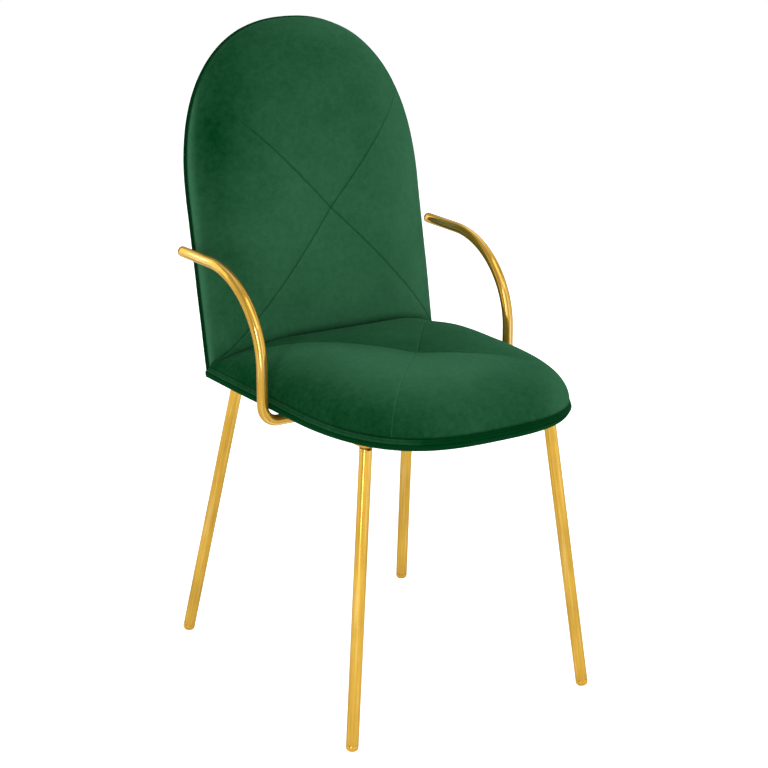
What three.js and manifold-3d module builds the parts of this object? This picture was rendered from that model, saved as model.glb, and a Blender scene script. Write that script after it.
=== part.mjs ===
// Dining chair with arms: two upholstered arch panels, seat and back, on brass-finished tube legs.
// Millimetres, +Z up. The chair faces -Y and X = 0 is its mirror plane; left is -X.
// The origin is on the floor, under the middle of the whole chair.
import * as THREE from 'three';
import { mergeVertices } from 'three/addons/utils/BufferGeometryUtils.js';
import Module from 'manifold-3d';

const wasm = await Module();
wasm.setup();

// ---------------------------------------------------------------- driving dimensions

const gap = 0.3;                       // between two pieces that touch
const degree = Math.PI / 180;

// The seat and the back are arch panels: parallel sides from the crease, then a rounded end.
const panelHalfWidth = 198;            // over the welt, the same for seat and back
const creaseHeight = 454;              // floor to the line where both pads start
const creaseBehindFeet = 160.6;        // that line, behind the middle of the four feet
const backLean = 11.5 * degree;
const seat = { length: 477, straight: 229, exponent: 2.9 };
const back = { length: 507, straight: 245, exponent: 2.32 };
const archSteps = 30;

// Plywood boards
const boardInset = 8;                  // board edge inside the widest line
const seatBoardThickness = 16;
const backBoardThickness = 12;
const boardArris = 1.5;

// Pads: height of the crown, how far in from the edge it is reached, how square the shoulder is
const seatPad = { crown: 57, shoulder: 102, roundness: 2, inset: 3 };
const backPad = { crown: 70, shoulder: 130, roundness: 1.7, inset: 3 };
const padRings = 8;

// Double welt: two cords sewn together, the lower one further out
const weltRadius = 2.75;
const weltStepOut = 2.2;
const weltStepDown = 4.6;
const weltSides = 7;
const weltRunPast = 14;                // past the crease line, before it is mitred

// Velvet border wrapped round the lower edge of the seat board and turned in under it
const borderWrap = 2.4;
const borderInset = 0.8;
const borderRound = 6;
const borderRoundSteps = 3;
const borderFlap = 26;
const borderBehindCrease = 9.5;
const dustCoverThickness = 1.2;

// Upholstered rear of the back
const rearPad = { crown: 15, shoulder: 46, roundness: 2, inset: 5 };

// Legs
const legRadius = 9;
const tubeWall = 1.5;
const footHalfSpanX = 202;
const footHalfSpanY = 250;
const legTopHalfSpanX = 153.5;
const frontLegTopForward = 211;        // forward of the middle of the feet
const rearLegTopBehind = 152;          // behind the middle of the feet
const roundSides = 18;

// Foot glides
const glideHeight = 9;
const glideRound = 6;
const glideRoundFrom = 5.2;            // height at which the rounding of the foot starts
const glideRoundSteps = 3;
const glideStem = 16;

// Steel plates welded to the legs and arms and screwed up into the seat board
const plateThickness = 5;
const plateScrewEdge = 9;
const plateCorner = 8;
const plateCornerSteps = 3;
const legPlate = { length: 64, width: 46, tubeEdge: 12 };
const armPlate = { length: 96, width: 44 };
const armPlateInner = 62;              // inner end of the arm plate, from the mirror plane

// Arms
const armRadius = 8;
const armSideGap = 6;                  // between the arm tube and the side of the seat
const armForward = 28.4;               // upright of the arm, forward of the middle of the feet
const armTopHeight = 625.6;            // axis of the top run
const armBendRadius = 24;              // under the seat
const armSweepRise = 127;
const armSweepReach = 143;
const armTipBehind = 203;              // behind the middle of the feet
const armToeOut = 1.3 * degree;
const armInnerEnd = 84;                // inner end of the run under the seat
const armSides = 14;
const armBoreSides = 8;
const armBendSteps = 7;
const armSweepSteps = 16;
const armCapDome = 4;
const armCapStem = 12;
const armCapSteps = 4;

// Steel angles that join the back board to the seat board, let into the pads
const angle = { halfSpan: 105, width: 36, thickness: 4, seatLeg: 70, backLeg: 110 };
const angleScrewEnd = 12;              // screw to the end of a leg of the angle
const angleScrewPitch = 32;
const angleRoomAround = 0.6;           // between an angle and the pads it is let into

// Screws
const screwRadius = 2.25;
const screwHeadRadius = 4.5;
const screwHeadHeight = 2.6;
const screwTip = 3;
const screwSides = 8;
const plateScrewLength = 20;
const angleScrewLength = 14;

// ---------------------------------------------------------------- worked-out dimensions

const weltInset = boardInset - gap - weltRadius;                     // upper cord, beside the board
const weltDrop = gap + weltRadius;                                   // upper cord, below the crease line
const weltDepth = weltDrop + weltStepDown + weltRadius + gap;        // where the wraps take over
const seatDepth = gap + seatBoardThickness + gap + borderWrap;       // crease line to the underside
const undersideHeight = creaseHeight - seatDepth;
const plateTop = undersideHeight - gap;
const plateUnder = plateTop - plateThickness;
const legTop = plateUnder - gap;
const armX = panelHalfWidth + armSideGap + armRadius;
const armRunHeight = plateUnder - gap - armRadius;

// ---------------------------------------------------------------- materials

const finish = (color, roughness, metalness) => () =>
  new THREE.MeshStandardMaterial({ color, roughness, metalness });
const velvet = finish(0x1d5535, 0.85, 0);
const brass = finish(0xd8a03f, 0.22, 1);
const plywood = finish(0xc6a477, 0.7, 0);
const steel = finish(0x8d9094, 0.4, 1);
const blackFelt = finish(0x1b1b1c, 0.95, 0);
const zinc = finish(0xb9bcc0, 0.35, 1);

// ---------------------------------------------------------------- frames and nodes

const chair = new THREE.Group();

// In both panel frames x runs across, y from the crease towards the rounded end, z out of the pad side.
const seatFrame = new THREE.Group();
seatFrame.position.set(0, creaseBehindFeet, creaseHeight);
seatFrame.rotation.z = Math.PI;
const backFrame = new THREE.Group();
backFrame.position.copy(seatFrame.position);
backFrame.rotation.x = Math.PI / 2 - backLean;
chair.add(seatFrame, backFrame);
chair.updateMatrixWorld(true);
const intoSeat = seatFrame.matrixWorld.clone().invert();
const intoBack = backFrame.matrixWorld.clone().invert();

function node(parent, name, geometry, makeMaterial) {
  const mesh = new THREE.Mesh(geometry, makeMaterial());
  mesh.name = name;
  parent.add(mesh);
  return mesh;
}

// ---------------------------------------------------------------- solids

// Any closed geometry, with its shared vertices merged, as a solid for joining and cutting.
const mergeWithin = 1e-4;
function solid(geometry, matrix = new THREE.Matrix4()) {
  const bare = geometry.clone().applyMatrix4(matrix);
  bare.deleteAttribute('normal');
  bare.deleteAttribute('uv');
  const merged = mergeVertices(bare, mergeWithin);
  return new wasm.Manifold(new wasm.Mesh({
    numProp: 3,
    vertProperties: new Float32Array(merged.attributes.position.array),
    triVerts: new Uint32Array(merged.index.array),
  }));
}

function geometryOf(manifold) {
  const { vertProperties, triVerts } = manifold.getMesh();
  const geometry = new THREE.BufferGeometry();
  geometry.setAttribute('position', new THREE.BufferAttribute(new Float32Array(vertProperties), 3));
  geometry.setIndex(new THREE.BufferAttribute(new Uint32Array(triVerts), 1));
  geometry.computeVertexNormals();
  return geometry;
}

// A block that fills everything on the far side of a plane from its normal.
const blockSize = 2 * (seat.length + back.length);
function blockBehind(point, normal) {
  const block = new THREE.BoxGeometry(blockSize, blockSize, blockSize);
  const turn = new THREE.Quaternion().setFromUnitVectors(new THREE.Vector3(0, 0, 1), normal);
  const centre = point.clone().addScaledVector(normal, -blockSize / 2);
  return solid(block, new THREE.Matrix4().compose(centre, turn, new THREE.Vector3(1, 1, 1)));
}

function circlePoints(radius, sides) {
  const points = [];
  for (let i = 0; i < sides; i += 1) {
    const turn = 2 * Math.PI * i / sides;
    points.push(new THREE.Vector2(radius * Math.cos(turn), radius * Math.sin(turn)));
  }
  return points;
}

// A turned piece: profile points are (radius, height), and its axis is Z.
function turned(profile, sides) {
  const points = profile.map(([radius, height]) => new THREE.Vector2(radius, height));
  return new THREE.LatheGeometry(points, sides).rotateX(Math.PI / 2);
}

// Quarter-round profile points from (radius, base) to (radius - size, base + rise).
function quarterRound(radius, base, size, rise, steps) {
  const points = [];
  for (let i = 0; i <= steps; i += 1) {
    const turn = (Math.PI / 2) * i / steps;
    points.push([radius - size * (1 - Math.cos(turn)), base + rise * Math.sin(turn)]);
  }
  return points;
}

// ---------------------------------------------------------------- arch panels

// Outline of a panel, `inset` inside its widest line, from y = start to the rounded end and back.
// The rounded end is a superellipse from side to side.
function archPoints(panel, inset, start) {
  const halfWidth = panelHalfWidth - inset;
  const rise = panel.length - panel.straight - inset;
  const power = 2 / panel.exponent;
  const points = [new THREE.Vector2(halfWidth, start)];
  for (let i = 0; i <= archSteps; i += 1) {
    const turn = Math.PI * i / archSteps;
    const across = Math.cos(turn);
    points.push(new THREE.Vector2(
      halfWidth * Math.sign(across) * Math.abs(across) ** power,
      panel.straight + rise * Math.abs(Math.sin(turn)) ** power,
    ));
  }
  points.push(new THREE.Vector2(-halfWidth, start));
  return points;
}

// A straight-sided slab with an arch outline, from z = low to z = high.
function archSlab(panel, inset, start, low, high) {
  const shape = new THREE.Shape(archPoints(panel, inset, start));
  const slab = new THREE.ExtrudeGeometry(shape, { depth: high - low, bevelEnabled: false });
  return slab.translate(0, 0, low);
}

// A plywood board with softened edges, its upper face at z = top.
function archBoard(panel, start, top, thickness) {
  const shape = new THREE.Shape(archPoints(panel, boardInset + boardArris, start + boardArris));
  const board = new THREE.ExtrudeGeometry(shape, {
    depth: thickness - 2 * boardArris,
    bevelThickness: boardArris,
    bevelSize: boardArris,
    bevelSegments: 1,
  });
  return board.translate(0, 0, top - thickness + boardArris);
}

// Closed skin over a stack of rings that have the same number of points.
function loft(rings) {
  const count = rings[0].length;
  const faces = [];
  for (let ring = 0; ring < rings.length - 1; ring += 1) {
    for (let i = 0; i < count; i += 1) {
      const here = ring * count + i;
      const next = ring * count + (i + 1) % count;
      faces.push(here, next, next + count, here, next + count, here + count);
    }
  }
  const lastRing = (rings.length - 1) * count;
  const floor = rings[0].map((p) => new THREE.Vector2(p.x, p.y));
  for (const [a, b, c] of THREE.ShapeUtils.triangulateShape(floor, [])) {
    faces.push(a, c, b, lastRing + a, lastRing + b, lastRing + c);
  }
  const geometry = new THREE.BufferGeometry().setFromPoints(rings.flat());
  geometry.setIndex(faces);
  return geometry;
}

// A pad on an arch panel: steep at its edge, level at its crown.
function crownedPad(panel, pad, start) {
  const power = 2 / pad.roundness;
  const rings = [];
  for (let i = 0; i <= padRings; i += 1) {
    const turn = (Math.PI / 2) * i / padRings;
    const inward = pad.shoulder * (1 - Math.abs(Math.cos(turn)) ** power);
    const height = pad.crown * Math.sin(turn) ** power;
    const outline = archPoints(panel, pad.inset + inward, start);
    rings.push(outline.map((p) => new THREE.Vector3(p.x, p.y, height)));
  }
  return loft(rings);
}

// Trims the crease end of a piece along a plane through the crease line, `slope` up from the panel.
function mitred(piece, slope) {
  const normal = new THREE.Vector3(0, -Math.sin(slope), Math.cos(slope));
  return piece.intersect(blockBehind(normal.clone().multiplyScalar(-gap / 2), normal));
}

// A path through given points, one step of an extrusion to each.
class StationPath extends THREE.Curve {
  constructor(stations) {
    super();
    this.stations = stations;
  }

  getPoint(t, target = new THREE.Vector3()) {
    const place = t * (this.stations.length - 1);
    const before = Math.min(Math.floor(place), this.stations.length - 2);
    return target.lerpVectors(this.stations[before], this.stations[before + 1], place - before);
  }

  getPointAt(t, target) {
    return this.getPoint(t, target);
  }

  getTangentAt(t, target = new THREE.Vector3()) {
    const last = this.stations.length - 1;
    const station = Math.round(t * last);
    const ahead = this.stations[Math.min(station + 1, last)];
    const behind = this.stations[Math.max(station - 1, 0)];
    return target.subVectors(ahead, behind).normalize();
  }
}

function swept(shape, stations) {
  return new THREE.ExtrudeGeometry(shape, {
    steps: stations.length - 1,
    extrudePath: new StationPath(stations),
  });
}

// ---------------------------------------------------------------- welt

// Section of the double welt round the upper cord's centre, x down and y inward.
function weltSection() {
  const pitch = Math.hypot(weltStepOut, weltStepDown);
  const slant = Math.atan2(-weltStepOut, weltStepDown);
  const neck = Math.acos(Math.min(1, pitch / (2 * weltRadius)));
  const points = [];
  for (let cord = 0; cord < 2; cord += 1) {
    const from = slant + Math.PI * cord + neck;
    for (let i = 0; i < weltSides; i += 1) {
      const turn = from + 2 * (Math.PI - neck) * i / weltSides;
      points.push(new THREE.Vector2(
        cord * weltStepDown + weltRadius * Math.cos(turn),
        -cord * weltStepOut + weltRadius * Math.sin(turn),
      ));
    }
  }
  return new THREE.Shape(points);
}

function doubleWelt(panel) {
  const outline = archPoints(panel, weltInset, -weltRunPast);
  const stations = outline.map((p) => new THREE.Vector3(p.x, p.y, -weltDrop));
  return mitred(solid(swept(weltSection(), stations)), (Math.PI / 2 + backLean) / 2);
}

// ---------------------------------------------------------------- screws and plates

function screwGeometry(length) {
  return turned([
    [0, -length],
    [screwRadius, -length + screwTip],
    [screwRadius, 0],
    [screwHeadRadius, 0],
    [screwHeadRadius, screwHeadHeight / 2],
    [screwRadius, screwHeadHeight],
    [0, screwHeadHeight],
  ], screwSides);
}

// The hole a screw needs, a little wider and deeper than its shank, open above its head.
function screwHole(length, matrix) {
  const hole = turned([
    [0, -length - gap],
    [screwRadius + gap, -length - gap],
    [screwRadius + gap, screwHeadHeight],
    [0, screwHeadHeight],
  ], screwSides);
  return solid(hole, matrix);
}

// All the screws: name, length and the place of the underside of the head, z pointing out of the head.
const screws = [];

function addScrew(name, length, matrix) {
  screws.push({ name, length, matrix });
}

function drilled(piece, frameInverse = new THREE.Matrix4()) {
  return screws.reduce((rest, { length, matrix }) =>
    rest.subtract(screwHole(length, frameInverse.clone().multiply(matrix))), piece);
}

function roundedRectangle(x0, x1, y0, y1) {
  const quarter = Math.PI / 2;
  const shape = new THREE.Shape();
  shape.moveTo(x0 + plateCorner, y0);
  shape.lineTo(x1 - plateCorner, y0);
  shape.absarc(x1 - plateCorner, y0 + plateCorner, plateCorner, -quarter, 0);
  shape.absarc(x1 - plateCorner, y1 - plateCorner, plateCorner, 0, quarter);
  shape.absarc(x0 + plateCorner, y1 - plateCorner, plateCorner, quarter, 2 * quarter);
  shape.absarc(x0 + plateCorner, y0 + plateCorner, plateCorner, 2 * quarter, 3 * quarter);
  return shape;
}

function plateGeometry(shape) {
  const plate = new THREE.ExtrudeGeometry(shape, {
    depth: plateThickness,
    bevelEnabled: false,
    curveSegments: plateCornerSteps,
  });
  return plate.translate(0, 0, plateUnder);
}

function plateScrew(name, x, y) {
  const place = new THREE.Matrix4().makeRotationX(Math.PI);
  addScrew(name, plateScrewLength, place.setPosition(x, y, plateUnder - gap));
}

const sides = [['left', -1], ['right', 1]];
const ends = [['front', -1, frontLegTopForward], ['rear', 1, rearLegTopBehind]];

// Leg plates run from the leg towards the middle of the seat; three corners hold a screw,
// the fourth holds the leg.
const legPlates = [];
for (const [side, sideSign] of sides) {
  for (const [end, endSign, legTopSpan] of ends) {
    const outerX = legTopHalfSpanX + legPlate.tubeEdge;
    const outerY = legTopSpan + legPlate.tubeEdge;
    const innerX = outerX - legPlate.width;
    const innerY = outerY - legPlate.length;
    const xs = [sideSign * innerX, sideSign * outerX].sort((a, b) => a - b);
    const ys = [endSign * innerY, endSign * outerY].sort((a, b) => a - b);
    const shape = roundedRectangle(...xs, ...ys);
    legPlates.push({ name: `leg_plate_${end}_${side}`, shape });
    const screwPlaces = [
      [innerX + plateScrewEdge, innerY + plateScrewEdge],
      [innerX + plateScrewEdge, outerY - plateScrewEdge],
      [outerX - plateScrewEdge, innerY + plateScrewEdge],
    ];
    screwPlaces.forEach(([x, y], i) => {
      plateScrew(`leg_screw_${end}_${side}_${i + 1}`, sideSign * x, endSign * y);
    });
  }
}

// Arm plates lie along the run of the arm under the seat, with a screw on each side of the tube.
const armPlates = [];
for (const [side, sideSign] of sides) {
  const xs = [sideSign * armPlateInner, sideSign * (armPlateInner + armPlate.length)].sort((a, b) => a - b);
  const ys = [-armForward - armPlate.width / 2, -armForward + armPlate.width / 2];
  const shape = roundedRectangle(...xs, ...ys);
  armPlates.push({ name: `arm_plate_${side}`, shape });
  const screwPlaces = [
    [armPlateInner + plateScrewEdge, ys[0] + plateScrewEdge],
    [armPlateInner + armPlate.length - plateScrewEdge, ys[1] - plateScrewEdge],
  ];
  screwPlaces.forEach(([x, y], i) => plateScrew(`arm_screw_${side}_${i + 1}`, sideSign * x, y));
}

// The angles: two screws down into the seat board and two back into the back board.
for (const [side, sideSign] of sides) {
  for (let i = 0; i < 2; i += 1) {
    const alongSeat = angle.seatLeg - angleScrewEnd - i * angleScrewPitch;
    const alongBack = angle.backLeg - angleScrewEnd - i * angleScrewPitch;
    const x = sideSign * angle.halfSpan;
    const head = gap + angle.thickness;
    const onSeat = new THREE.Matrix4().makeTranslation(-x, alongSeat, head);
    const onBack = new THREE.Matrix4().makeTranslation(x, alongBack, head);
    addScrew(`angle_screw_seat_${side}_${i + 1}`, angleScrewLength,
      seatFrame.matrixWorld.clone().multiply(onSeat));
    addScrew(`angle_screw_back_${side}_${i + 1}`, angleScrewLength,
      backFrame.matrixWorld.clone().multiply(onBack));
  }
}

// ---------------------------------------------------------------- angles

// L-shaped profile in the crease corner, (y, z) measured from the crease line, `extra` bigger all round.
function angleProfile(thickness, extra) {
  const seatLeg = angle.seatLeg + extra;
  const backLeg = angle.backLeg + extra;
  const alongBack = new THREE.Vector2(Math.sin(backLean), Math.cos(backLean));
  const outOfBack = new THREE.Vector2(-Math.cos(backLean), Math.sin(backLean));
  const insideUp = (thickness - thickness * outOfBack.y) / alongBack.y;
  return new THREE.Shape([
    new THREE.Vector2(-seatLeg, -extra),
    new THREE.Vector2(0, -extra),
    alongBack.clone().multiplyScalar(backLeg),
    alongBack.clone().multiplyScalar(backLeg).addScaledVector(outOfBack, thickness),
    alongBack.clone().multiplyScalar(insideUp).addScaledVector(outOfBack, thickness),
    new THREE.Vector2(-seatLeg, thickness),
  ]);
}

// The profile is drawn in (y, z) and extruded along x.
const acrossChair = new THREE.Matrix4().makeBasis(
  new THREE.Vector3(0, 1, 0), new THREE.Vector3(0, 0, 1), new THREE.Vector3(1, 0, 0),
);

function angleGeometry(sideSign, thickness, extra) {
  const width = angle.width + 2 * extra;
  const bar = new THREE.ExtrudeGeometry(angleProfile(thickness, extra), {
    depth: width,
    bevelEnabled: false,
  });
  bar.applyMatrix4(acrossChair);
  return bar.translate(sideSign * angle.halfSpan - width / 2, creaseBehindFeet, creaseHeight);
}

// Room in the pads for an angle and the heads of its screws, which stand gap above it.
const angleRoom = gap + angle.thickness + gap + screwHeadHeight + gap;
function withoutAngles(pad, frameInverse) {
  return sides.reduce((rest, [, sideSign]) =>
    rest.subtract(solid(angleGeometry(sideSign, angleRoom, angleRoomAround), frameInverse)), pad);
}

for (const [side, sideSign] of sides) {
  const lift = new THREE.Matrix4().makeTranslation(0, -gap * Math.cos(backLean), gap);
  const bar = solid(angleGeometry(sideSign, angle.thickness, 0), lift);
  node(chair, `back_angle_${side}`, geometryOf(drilled(bar)), steel);
}

// ---------------------------------------------------------------- seat

// The pads meet where their crowns would cross.
const crownMeetsForward = backPad.crown / Math.cos(backLean) - seatPad.crown * Math.tan(backLean);
const seatMitre = Math.atan2(seatPad.crown, crownMeetsForward);
const backMitre = Math.PI / 2 + backLean - seatMitre;

const seatBoardBottom = -gap - seatBoardThickness;
const seatBoardStart = -seatBoardBottom * Math.tan(backLean) + 2 * gap;
const seatBoard = archBoard(seat, seatBoardStart, -gap, seatBoardThickness);
node(seatFrame, 'seat_board', geometryOf(drilled(solid(seatBoard), intoSeat)), plywood);

const seatCushion = mitred(solid(crownedPad(seat, seatPad, 0)), seatMitre);
node(seatFrame, 'seat_cushion', geometryOf(withoutAngles(seatCushion, intoSeat)), velvet);

node(seatFrame, 'seat_welt', geometryOf(doubleWelt(seat)), velvet);

// The border: a slab with a rounded lower edge, hollowed for the board and open in the middle.
function seatBorder() {
  const outline = archPoints(seat, borderInset + borderRound, borderRound - borderBehindCrease);
  const blank = new THREE.ExtrudeGeometry(new THREE.Shape(outline), {
    depth: seatDepth - borderRound,
    bevelThickness: borderRound,
    bevelSize: borderRound,
    bevelSegments: borderRoundSteps,
  });
  blank.translate(0, 0, -seatDepth + borderRound);
  const boardSpace = archSlab(
    seat, boardInset - gap, -panelHalfWidth, -seatDepth + borderWrap, seatDepth,
  );
  const opening = archSlab(
    seat, boardInset + borderFlap, borderFlap, -2 * seatDepth, seatDepth,
  );
  const upper = new THREE.Vector3(0, 0, -weltDepth);
  return solid(blank)
    .intersect(blockBehind(upper, new THREE.Vector3(0, 0, 1)))
    .subtract(solid(boardSpace))
    .subtract(solid(opening));
}
node(seatFrame, 'seat_border', geometryOf(drilled(seatBorder(), intoSeat)), velvet);

const dustCover = archSlab(
  seat, boardInset + borderFlap + gap, borderFlap + gap,
  seatBoardBottom - gap - dustCoverThickness, seatBoardBottom - gap,
);
node(seatFrame, 'seat_dust_cover', geometryOf(drilled(solid(dustCover), intoSeat)), blackFelt);

// ---------------------------------------------------------------- back

// The board reaches down to the border that is turned in under the seat.
const backBoardBack = gap + backBoardThickness;
const backBoardStart = -(
  seatDepth - borderWrap - 2 * gap - backBoardBack * Math.sin(backLean)
) / Math.cos(backLean);
const backBoard = archBoard(back, backBoardStart, -gap, backBoardThickness);
node(backFrame, 'back_board', geometryOf(drilled(solid(backBoard), intoBack)), plywood);

const backCushion = mitred(solid(crownedPad(back, backPad, 0)), backMitre);
node(backFrame, 'back_cushion', geometryOf(withoutAngles(backCushion, intoBack)), velvet);

node(backFrame, 'back_welt', geometryOf(doubleWelt(back)), velvet);

// The rear pad faces the other way. It is hollowed for the board, stops behind the seat border,
// and ends level with the underside.
function rearCover() {
  const aboutFace = new THREE.Matrix4().makeRotationY(Math.PI).setPosition(0, 0, -weltDepth);
  const blank = solid(crownedPad(back, rearPad, -panelHalfWidth), aboutFace);
  const boardSpace = archSlab(back, boardInset - gap, -2 * panelHalfWidth, -backBoardBack - gap, gap);
  const borderBlock = new THREE.BoxGeometry(2 * panelHalfWidth, 2 * panelHalfWidth, 2 * seatDepth);
  const borderSpace = new THREE.Matrix4().makeTranslation(
    0,
    creaseBehindFeet + borderBehindCrease + gap - panelHalfWidth,
    creaseHeight - weltDepth + gap - seatDepth,
  );
  const up = new THREE.Vector3(0, 0, -1).transformDirection(intoBack);
  const low = new THREE.Vector3(0, creaseBehindFeet, undersideHeight).applyMatrix4(intoBack);
  return blank
    .subtract(solid(boardSpace))
    .subtract(solid(borderBlock, intoBack.clone().multiply(borderSpace)))
    .intersect(blockBehind(low, up));
}
node(backFrame, 'back_rear_cover', geometryOf(rearCover()), velvet);

// ---------------------------------------------------------------- plates and screws

for (const { name, shape } of [...legPlates, ...armPlates]) {
  node(chair, name, geometryOf(drilled(solid(plateGeometry(shape)))), steel);
}

for (const { name, length, matrix } of screws) {
  const mesh = node(chair, name, screwGeometry(length), zinc);
  mesh.applyMatrix4(matrix.clone().multiply(new THREE.Matrix4().makeTranslation(0, 0, gap)));
}

// ---------------------------------------------------------------- legs

const boreRadius = legRadius - tubeWall;

// A tube of length `length` along Z, open at both ends.
function tube(radius, bore, length) {
  return turned([[bore, 0], [radius, 0], [radius, length], [bore, length], [bore, 0]], roundSides);
}

// The glide stands on the floor at height 0 and plugs up into the tube above glideHeight.
function glideBlank() {
  const stemRadius = boreRadius - gap;
  const skirt = quarterRound(legRadius, glideRoundFrom, glideRound, -glideRound, glideRoundSteps);
  return turned([
    [0, glideRoundFrom - glideRound],
    ...skirt.reverse(),
    [legRadius, glideHeight - gap],
    [stemRadius, glideHeight - gap],
    [stemRadius, glideHeight + glideStem],
    [0, glideHeight + glideStem],
  ], roundSides);
}

for (const [side, sideSign] of sides) {
  for (const [end, endSign, legTopSpan] of ends) {
    const foot = new THREE.Vector3(sideSign * footHalfSpanX, endSign * footHalfSpanY, 0);
    const top = new THREE.Vector3(sideSign * legTopHalfSpanX, endSign * legTopSpan, legTop);
    const along = top.clone().sub(foot);
    const length = along.length();
    along.normalize();
    const upright = new THREE.Vector3(0, 0, 1);
    const stand = new THREE.Matrix4().compose(
      foot, new THREE.Quaternion().setFromUnitVectors(upright, along), new THREE.Vector3(1, 1, 1),
    );
    // The tube is cut square above the glide and level under its plate.
    const overlong = tube(legRadius, boreRadius, length + 2 * legRadius - glideHeight);
    const raised = stand.clone().multiply(new THREE.Matrix4().makeTranslation(0, 0, glideHeight));
    const leg = solid(overlong, raised).intersect(blockBehind(top, upright));
    node(chair, `leg_${end}_${side}`, geometryOf(leg), brass);
    // The glide is trimmed level with the floor.
    const floor = blockBehind(new THREE.Vector3(0, 0, 0), upright.clone().negate());
    const glide = solid(glideBlank(), stand).intersect(floor);
    node(chair, `foot_glide_${end}_${side}`, geometryOf(glide), brass);
  }
}

// ---------------------------------------------------------------- arms

const armBore = armRadius - tubeWall;

// Axis of an arm: out from under the seat, up beside it, and back in a long sweep to a free tip.
function armStations(sideSign) {
  const stations = [];
  const add = (x, y, z) => {
    const toeOut = (y + armForward) * Math.tan(armToeOut);
    stations.push(new THREE.Vector3(sideSign * (x + toeOut), y, z));
  };
  add(armInnerEnd, -armForward, armRunHeight);
  for (let i = 0; i <= armBendSteps; i += 1) {
    const turn = (Math.PI / 2) * i / armBendSteps;
    add(
      armX - armBendRadius + armBendRadius * Math.sin(turn),
      -armForward,
      armRunHeight + armBendRadius - armBendRadius * Math.cos(turn),
    );
  }
  for (let i = 0; i <= armSweepSteps; i += 1) {
    const turn = (Math.PI / 2) * i / armSweepSteps;
    add(
      armX,
      -armForward + armSweepReach * (1 - Math.cos(turn)),
      armTopHeight - armSweepRise * (1 - Math.sin(turn)),
    );
  }
  add(armX, armTipBehind - armCapDome, armTopHeight);
  return stations;
}

function armCap() {
  const stemRadius = armBore * Math.cos(Math.PI / armBoreSides) - gap;
  return turned([
    [0, -armCapStem],
    [stemRadius, -armCapStem],
    [stemRadius, gap],
    ...quarterRound(armRadius, gap, armRadius, armCapDome - gap, armCapSteps),
  ], roundSides);
}

for (const [side, sideSign] of sides) {
  const section = new THREE.Shape(circlePoints(armRadius, armSides));
  section.holes.push(new THREE.Path(circlePoints(armBore, armBoreSides)));
  const stations = armStations(sideSign);
  node(chair, `arm_${side}`, swept(section, stations), brass);
  const [beforeTip, tip] = stations.slice(-2);
  const outward = tip.clone().sub(beforeTip).normalize();
  const cap = node(chair, `arm_cap_${side}`, armCap(), brass);
  cap.position.copy(tip);
  cap.quaternion.setFromUnitVectors(new THREE.Vector3(0, 0, 1), outward);
}

// ---------------------------------------------------------------- origin

chair.updateMatrixWorld(true);
const bounds = new THREE.Box3().setFromObject(chair, true);
chair.position.y = -(bounds.min.y + bounds.max.y) / 2;

export default chair;
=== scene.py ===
"""Looks of a dining chair in green velvet on brass tube legs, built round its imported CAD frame.

Metres, +Z up. The chair faces -Y and X = 0 is its mirror plane; left is -X.
"""
import math
from dataclasses import dataclass

import bmesh
import bpy
import numpy as np
from mathutils import Matrix, Vector, noise
from mathutils.bvhtree import BVHTree
from mathutils.geometry import delaunay_2d_cdt


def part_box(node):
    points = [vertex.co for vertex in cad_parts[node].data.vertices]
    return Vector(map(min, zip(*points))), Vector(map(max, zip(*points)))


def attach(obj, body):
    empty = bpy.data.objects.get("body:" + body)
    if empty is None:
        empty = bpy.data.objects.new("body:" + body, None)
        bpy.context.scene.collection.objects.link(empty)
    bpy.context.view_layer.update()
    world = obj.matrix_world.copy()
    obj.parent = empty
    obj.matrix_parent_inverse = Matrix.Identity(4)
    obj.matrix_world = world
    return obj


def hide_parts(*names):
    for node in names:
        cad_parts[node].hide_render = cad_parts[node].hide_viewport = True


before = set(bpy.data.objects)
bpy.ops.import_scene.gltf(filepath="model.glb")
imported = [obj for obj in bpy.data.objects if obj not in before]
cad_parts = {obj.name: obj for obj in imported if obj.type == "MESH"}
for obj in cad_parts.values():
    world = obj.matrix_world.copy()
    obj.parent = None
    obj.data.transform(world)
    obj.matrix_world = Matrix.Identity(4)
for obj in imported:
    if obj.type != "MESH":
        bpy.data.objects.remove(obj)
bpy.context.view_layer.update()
scene = bpy.context.scene
mm = 0.001

# --- camera ---

CAMERA_AT = (-1.5512, -2.4524, 1.3283)
CAMERA_TURN = math.radians(-32.264)  # round +Z, from looking along +Y
CAMERA_DIP = math.radians(16.993)  # below the horizon
CAMERA_LENS = 96.73  # on a sensor 36 mm wide


def make_camera():
    """The photo's viewpoint, solved from the chair's own symmetry."""
    data = bpy.data.cameras.new("camera")
    data.lens = CAMERA_LENS
    camera = bpy.data.objects.new("camera", data)
    camera.location = CAMERA_AT
    camera.rotation_euler = (math.pi / 2 - CAMERA_DIP, 0, CAMERA_TURN)
    scene.collection.objects.link(camera)
    scene.camera = camera


make_camera()

# --- sizes, from the frame ---

LEAN = math.radians(11.5)  # the back, from the vertical
PAD_INSET = 3 * mm  # pad edge inside the widest line of a panel
BOARD_INSET = 8 * mm
SEAM_GAP = 0.3 * mm  # between neighbouring pieces
MITRE_GAP = 0.2 * mm
WELT_RADIUS = 2.2 * mm
WELT_STEP = (1.8 * mm, 3.7 * mm)  # second cord from the first: out and down
WELT_INSET = BOARD_INSET - 1.3 * mm - WELT_RADIUS
WELT_DROP = SEAM_GAP + WELT_RADIUS  # first cord's axis below the pad's edge
WELT_DEPTH = WELT_DROP + WELT_STEP[1] + WELT_RADIUS + SEAM_GAP
BOARD_BACK = 12.6 * mm  # rear face of the back board, with its gap
QUILT_SWELL = 4 * mm  # how far the crown stands above the crossing of its seams

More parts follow.
